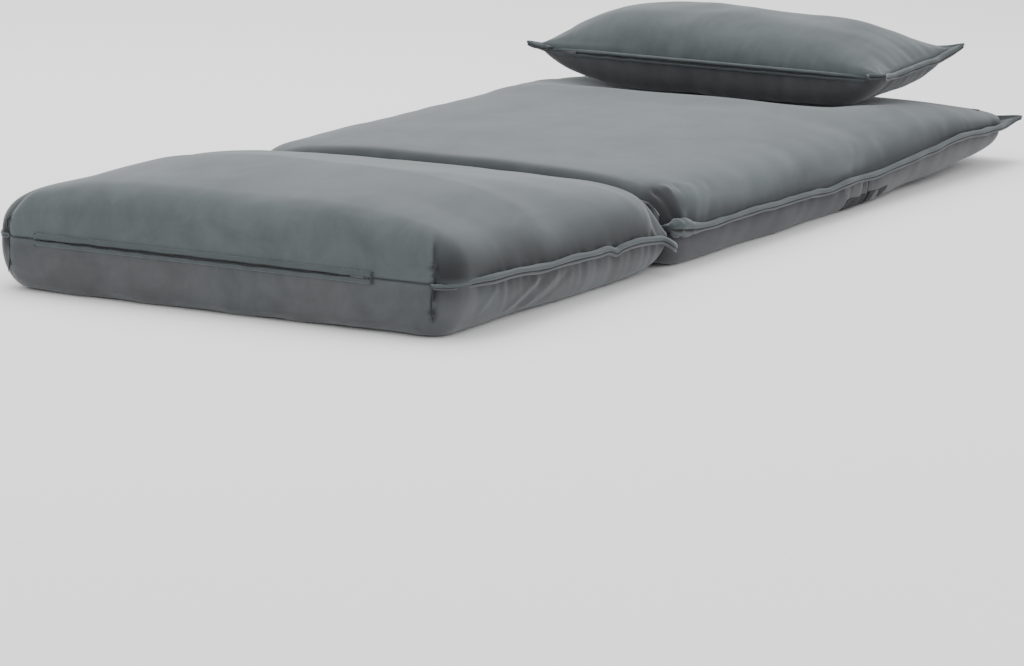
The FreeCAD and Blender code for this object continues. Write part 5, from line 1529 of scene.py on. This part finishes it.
class OBJECT_OT_chair_bed_stage(bpy.types.Operator):
    """Pale floor, soft studio light and the camera"""
    bl_idname = "object.chair_bed_stage"
    bl_label = "Stage"

    def execute(self, context):
        scene = context.scene
        mesh = bpy.data.meshes.new("studio_floor")
        signs = ((-1, -1), (1, -1), (1, 1), (-1, 1))
        corners = [(x * FLOOR_HALF, y * FLOOR_HALF, 0.0) for x, y in signs]
        mesh.from_pydata(corners, [], [(0, 1, 2, 3)])
        floor = bpy.data.objects.new("studio_floor", mesh)
        scene.collection.objects.link(floor)
        paint = Finish("studio_floor", 0.9, {"Specular IOR Level": 0.1})
        paint.shader.inputs["Base Color"].default_value = (*scene.chair_bed_colours.floor, 1.0)
        mesh.materials.append(paint.material)
        world = bpy.data.worlds.new("studio")
        scene.world = world
        world.use_nodes = True
        background = world.node_tree.nodes["Background"].inputs
        background["Color"].default_value = (1.0, 1.0, 1.0, 1.0)
        background["Strength"].default_value = WORLD_STRENGTH
        for name, setting in LAMPS.items():
            self.lamp(scene, name, *setting)
        self.camera(scene)
        return {"FINISHED"}

    def lamp(self, scene, name, place, aim, size, power):
        """A square soft light that faces its aim."""
        light = bpy.data.lights.new(name, "AREA")
        light.size = size
        light.energy = power
        lamp = bpy.data.objects.new(name, light)
        lamp.location = place
        way = Vector(aim) - Vector(place)
        lamp.rotation_euler = way.to_track_quat("-Z", "Y").to_euler()
        scene.collection.objects.link(lamp)

    def camera(self, scene):
        """The camera that the photograph's corner points fit."""
        azimuth = math.radians(CAMERA_AZIMUTH)
        elevation = math.radians(CAMERA_ELEVATION)
        level = math.cos(elevation)
        back = Vector((math.sin(azimuth) * level, -math.cos(azimuth) * level, math.sin(elevation)))
        right = Vector((math.cos(azimuth), math.sin(azimuth), 0.0))
        up = back.cross(right)
        roll = math.radians(CAMERA_ROLL)
        turned_right = right * math.cos(roll) + up * math.sin(roll)
        turned_up = up * math.cos(roll) - right * math.sin(roll)
        data = bpy.data.cameras.new("camera")
        data.sensor_width = 36.0
        data.lens = CAMERA_LENS_PIXELS / FRAME_WIDTH * data.sensor_width
        data.clip_end = 100.0
        camera = bpy.data.objects.new("camera", data)
        axes = Matrix((turned_right, turned_up, back)).transposed().to_4x4()
        place = Vector(CAMERA_AIM) + back * scene.chair_bed_sizes.camera_distance
        camera.matrix_world = Matrix.Translation(place) @ axes
        scene.collection.objects.link(camera)
        scene.camera = camera


OPERATORS = [
    OBJECT_OT_chair_bed_finishes,
    OBJECT_OT_chair_bed_stage,
    OBJECT_OT_chair_bed_foot,
    OBJECT_OT_chair_bed_foot_flange,
    OBJECT_OT_chair_bed_crease,
    OBJECT_OT_chair_bed_mattress,
    OBJECT_OT_chair_bed_panels,
    OBJECT_OT_chair_bed_mattress_flange,
    OBJECT_OT_chair_bed_pillow,
    OBJECT_OT_chair_bed_zips,
    OBJECT_OT_chair_bed_carried,
]


class VIEW3D_PT_chair_bed(bpy.types.Panel):
    """Sizes, colours and one button for each group of pieces"""
    bl_idname = "VIEW3D_PT_chair_bed"
    bl_label = "Chair bed"
    bl_space_type = "VIEW_3D"
    bl_region_type = "UI"
    bl_category = "Chair bed"

    def draw(self, context):
        for group in (context.scene.chair_bed_sizes, context.scene.chair_bed_colours):
            for key in group.bl_rna.properties.keys():
                if key not in ("rna_type", "name"):
                    self.layout.prop(group, key)
        for operator in OPERATORS:
            self.layout.operator(operator.bl_idname)


CLASSES = [ChairBedColours, ChairBedSizes] + OPERATORS + [VIEW3D_PT_chair_bed]


def register():
    for cls in CLASSES:
        bpy.utils.register_class(cls)
    bpy.types.Scene.chair_bed_sizes = PointerProperty(type=ChairBedSizes)
    bpy.types.Scene.chair_bed_colours = PointerProperty(type=ChairBedColours)


def unregister():
    del bpy.types.Scene.chair_bed_colours
    del bpy.types.Scene.chair_bed_sizes
    for cls in reversed(CLASSES):
        bpy.utils.unregister_class(cls)


def main():
    """Registers the add-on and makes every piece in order."""
    register()
    for operator in OPERATORS:
        group, name = operator.bl_idname.split(".")
        getattr(getattr(bpy.ops, group), name)()


if __name__ == "__main__":
    main()
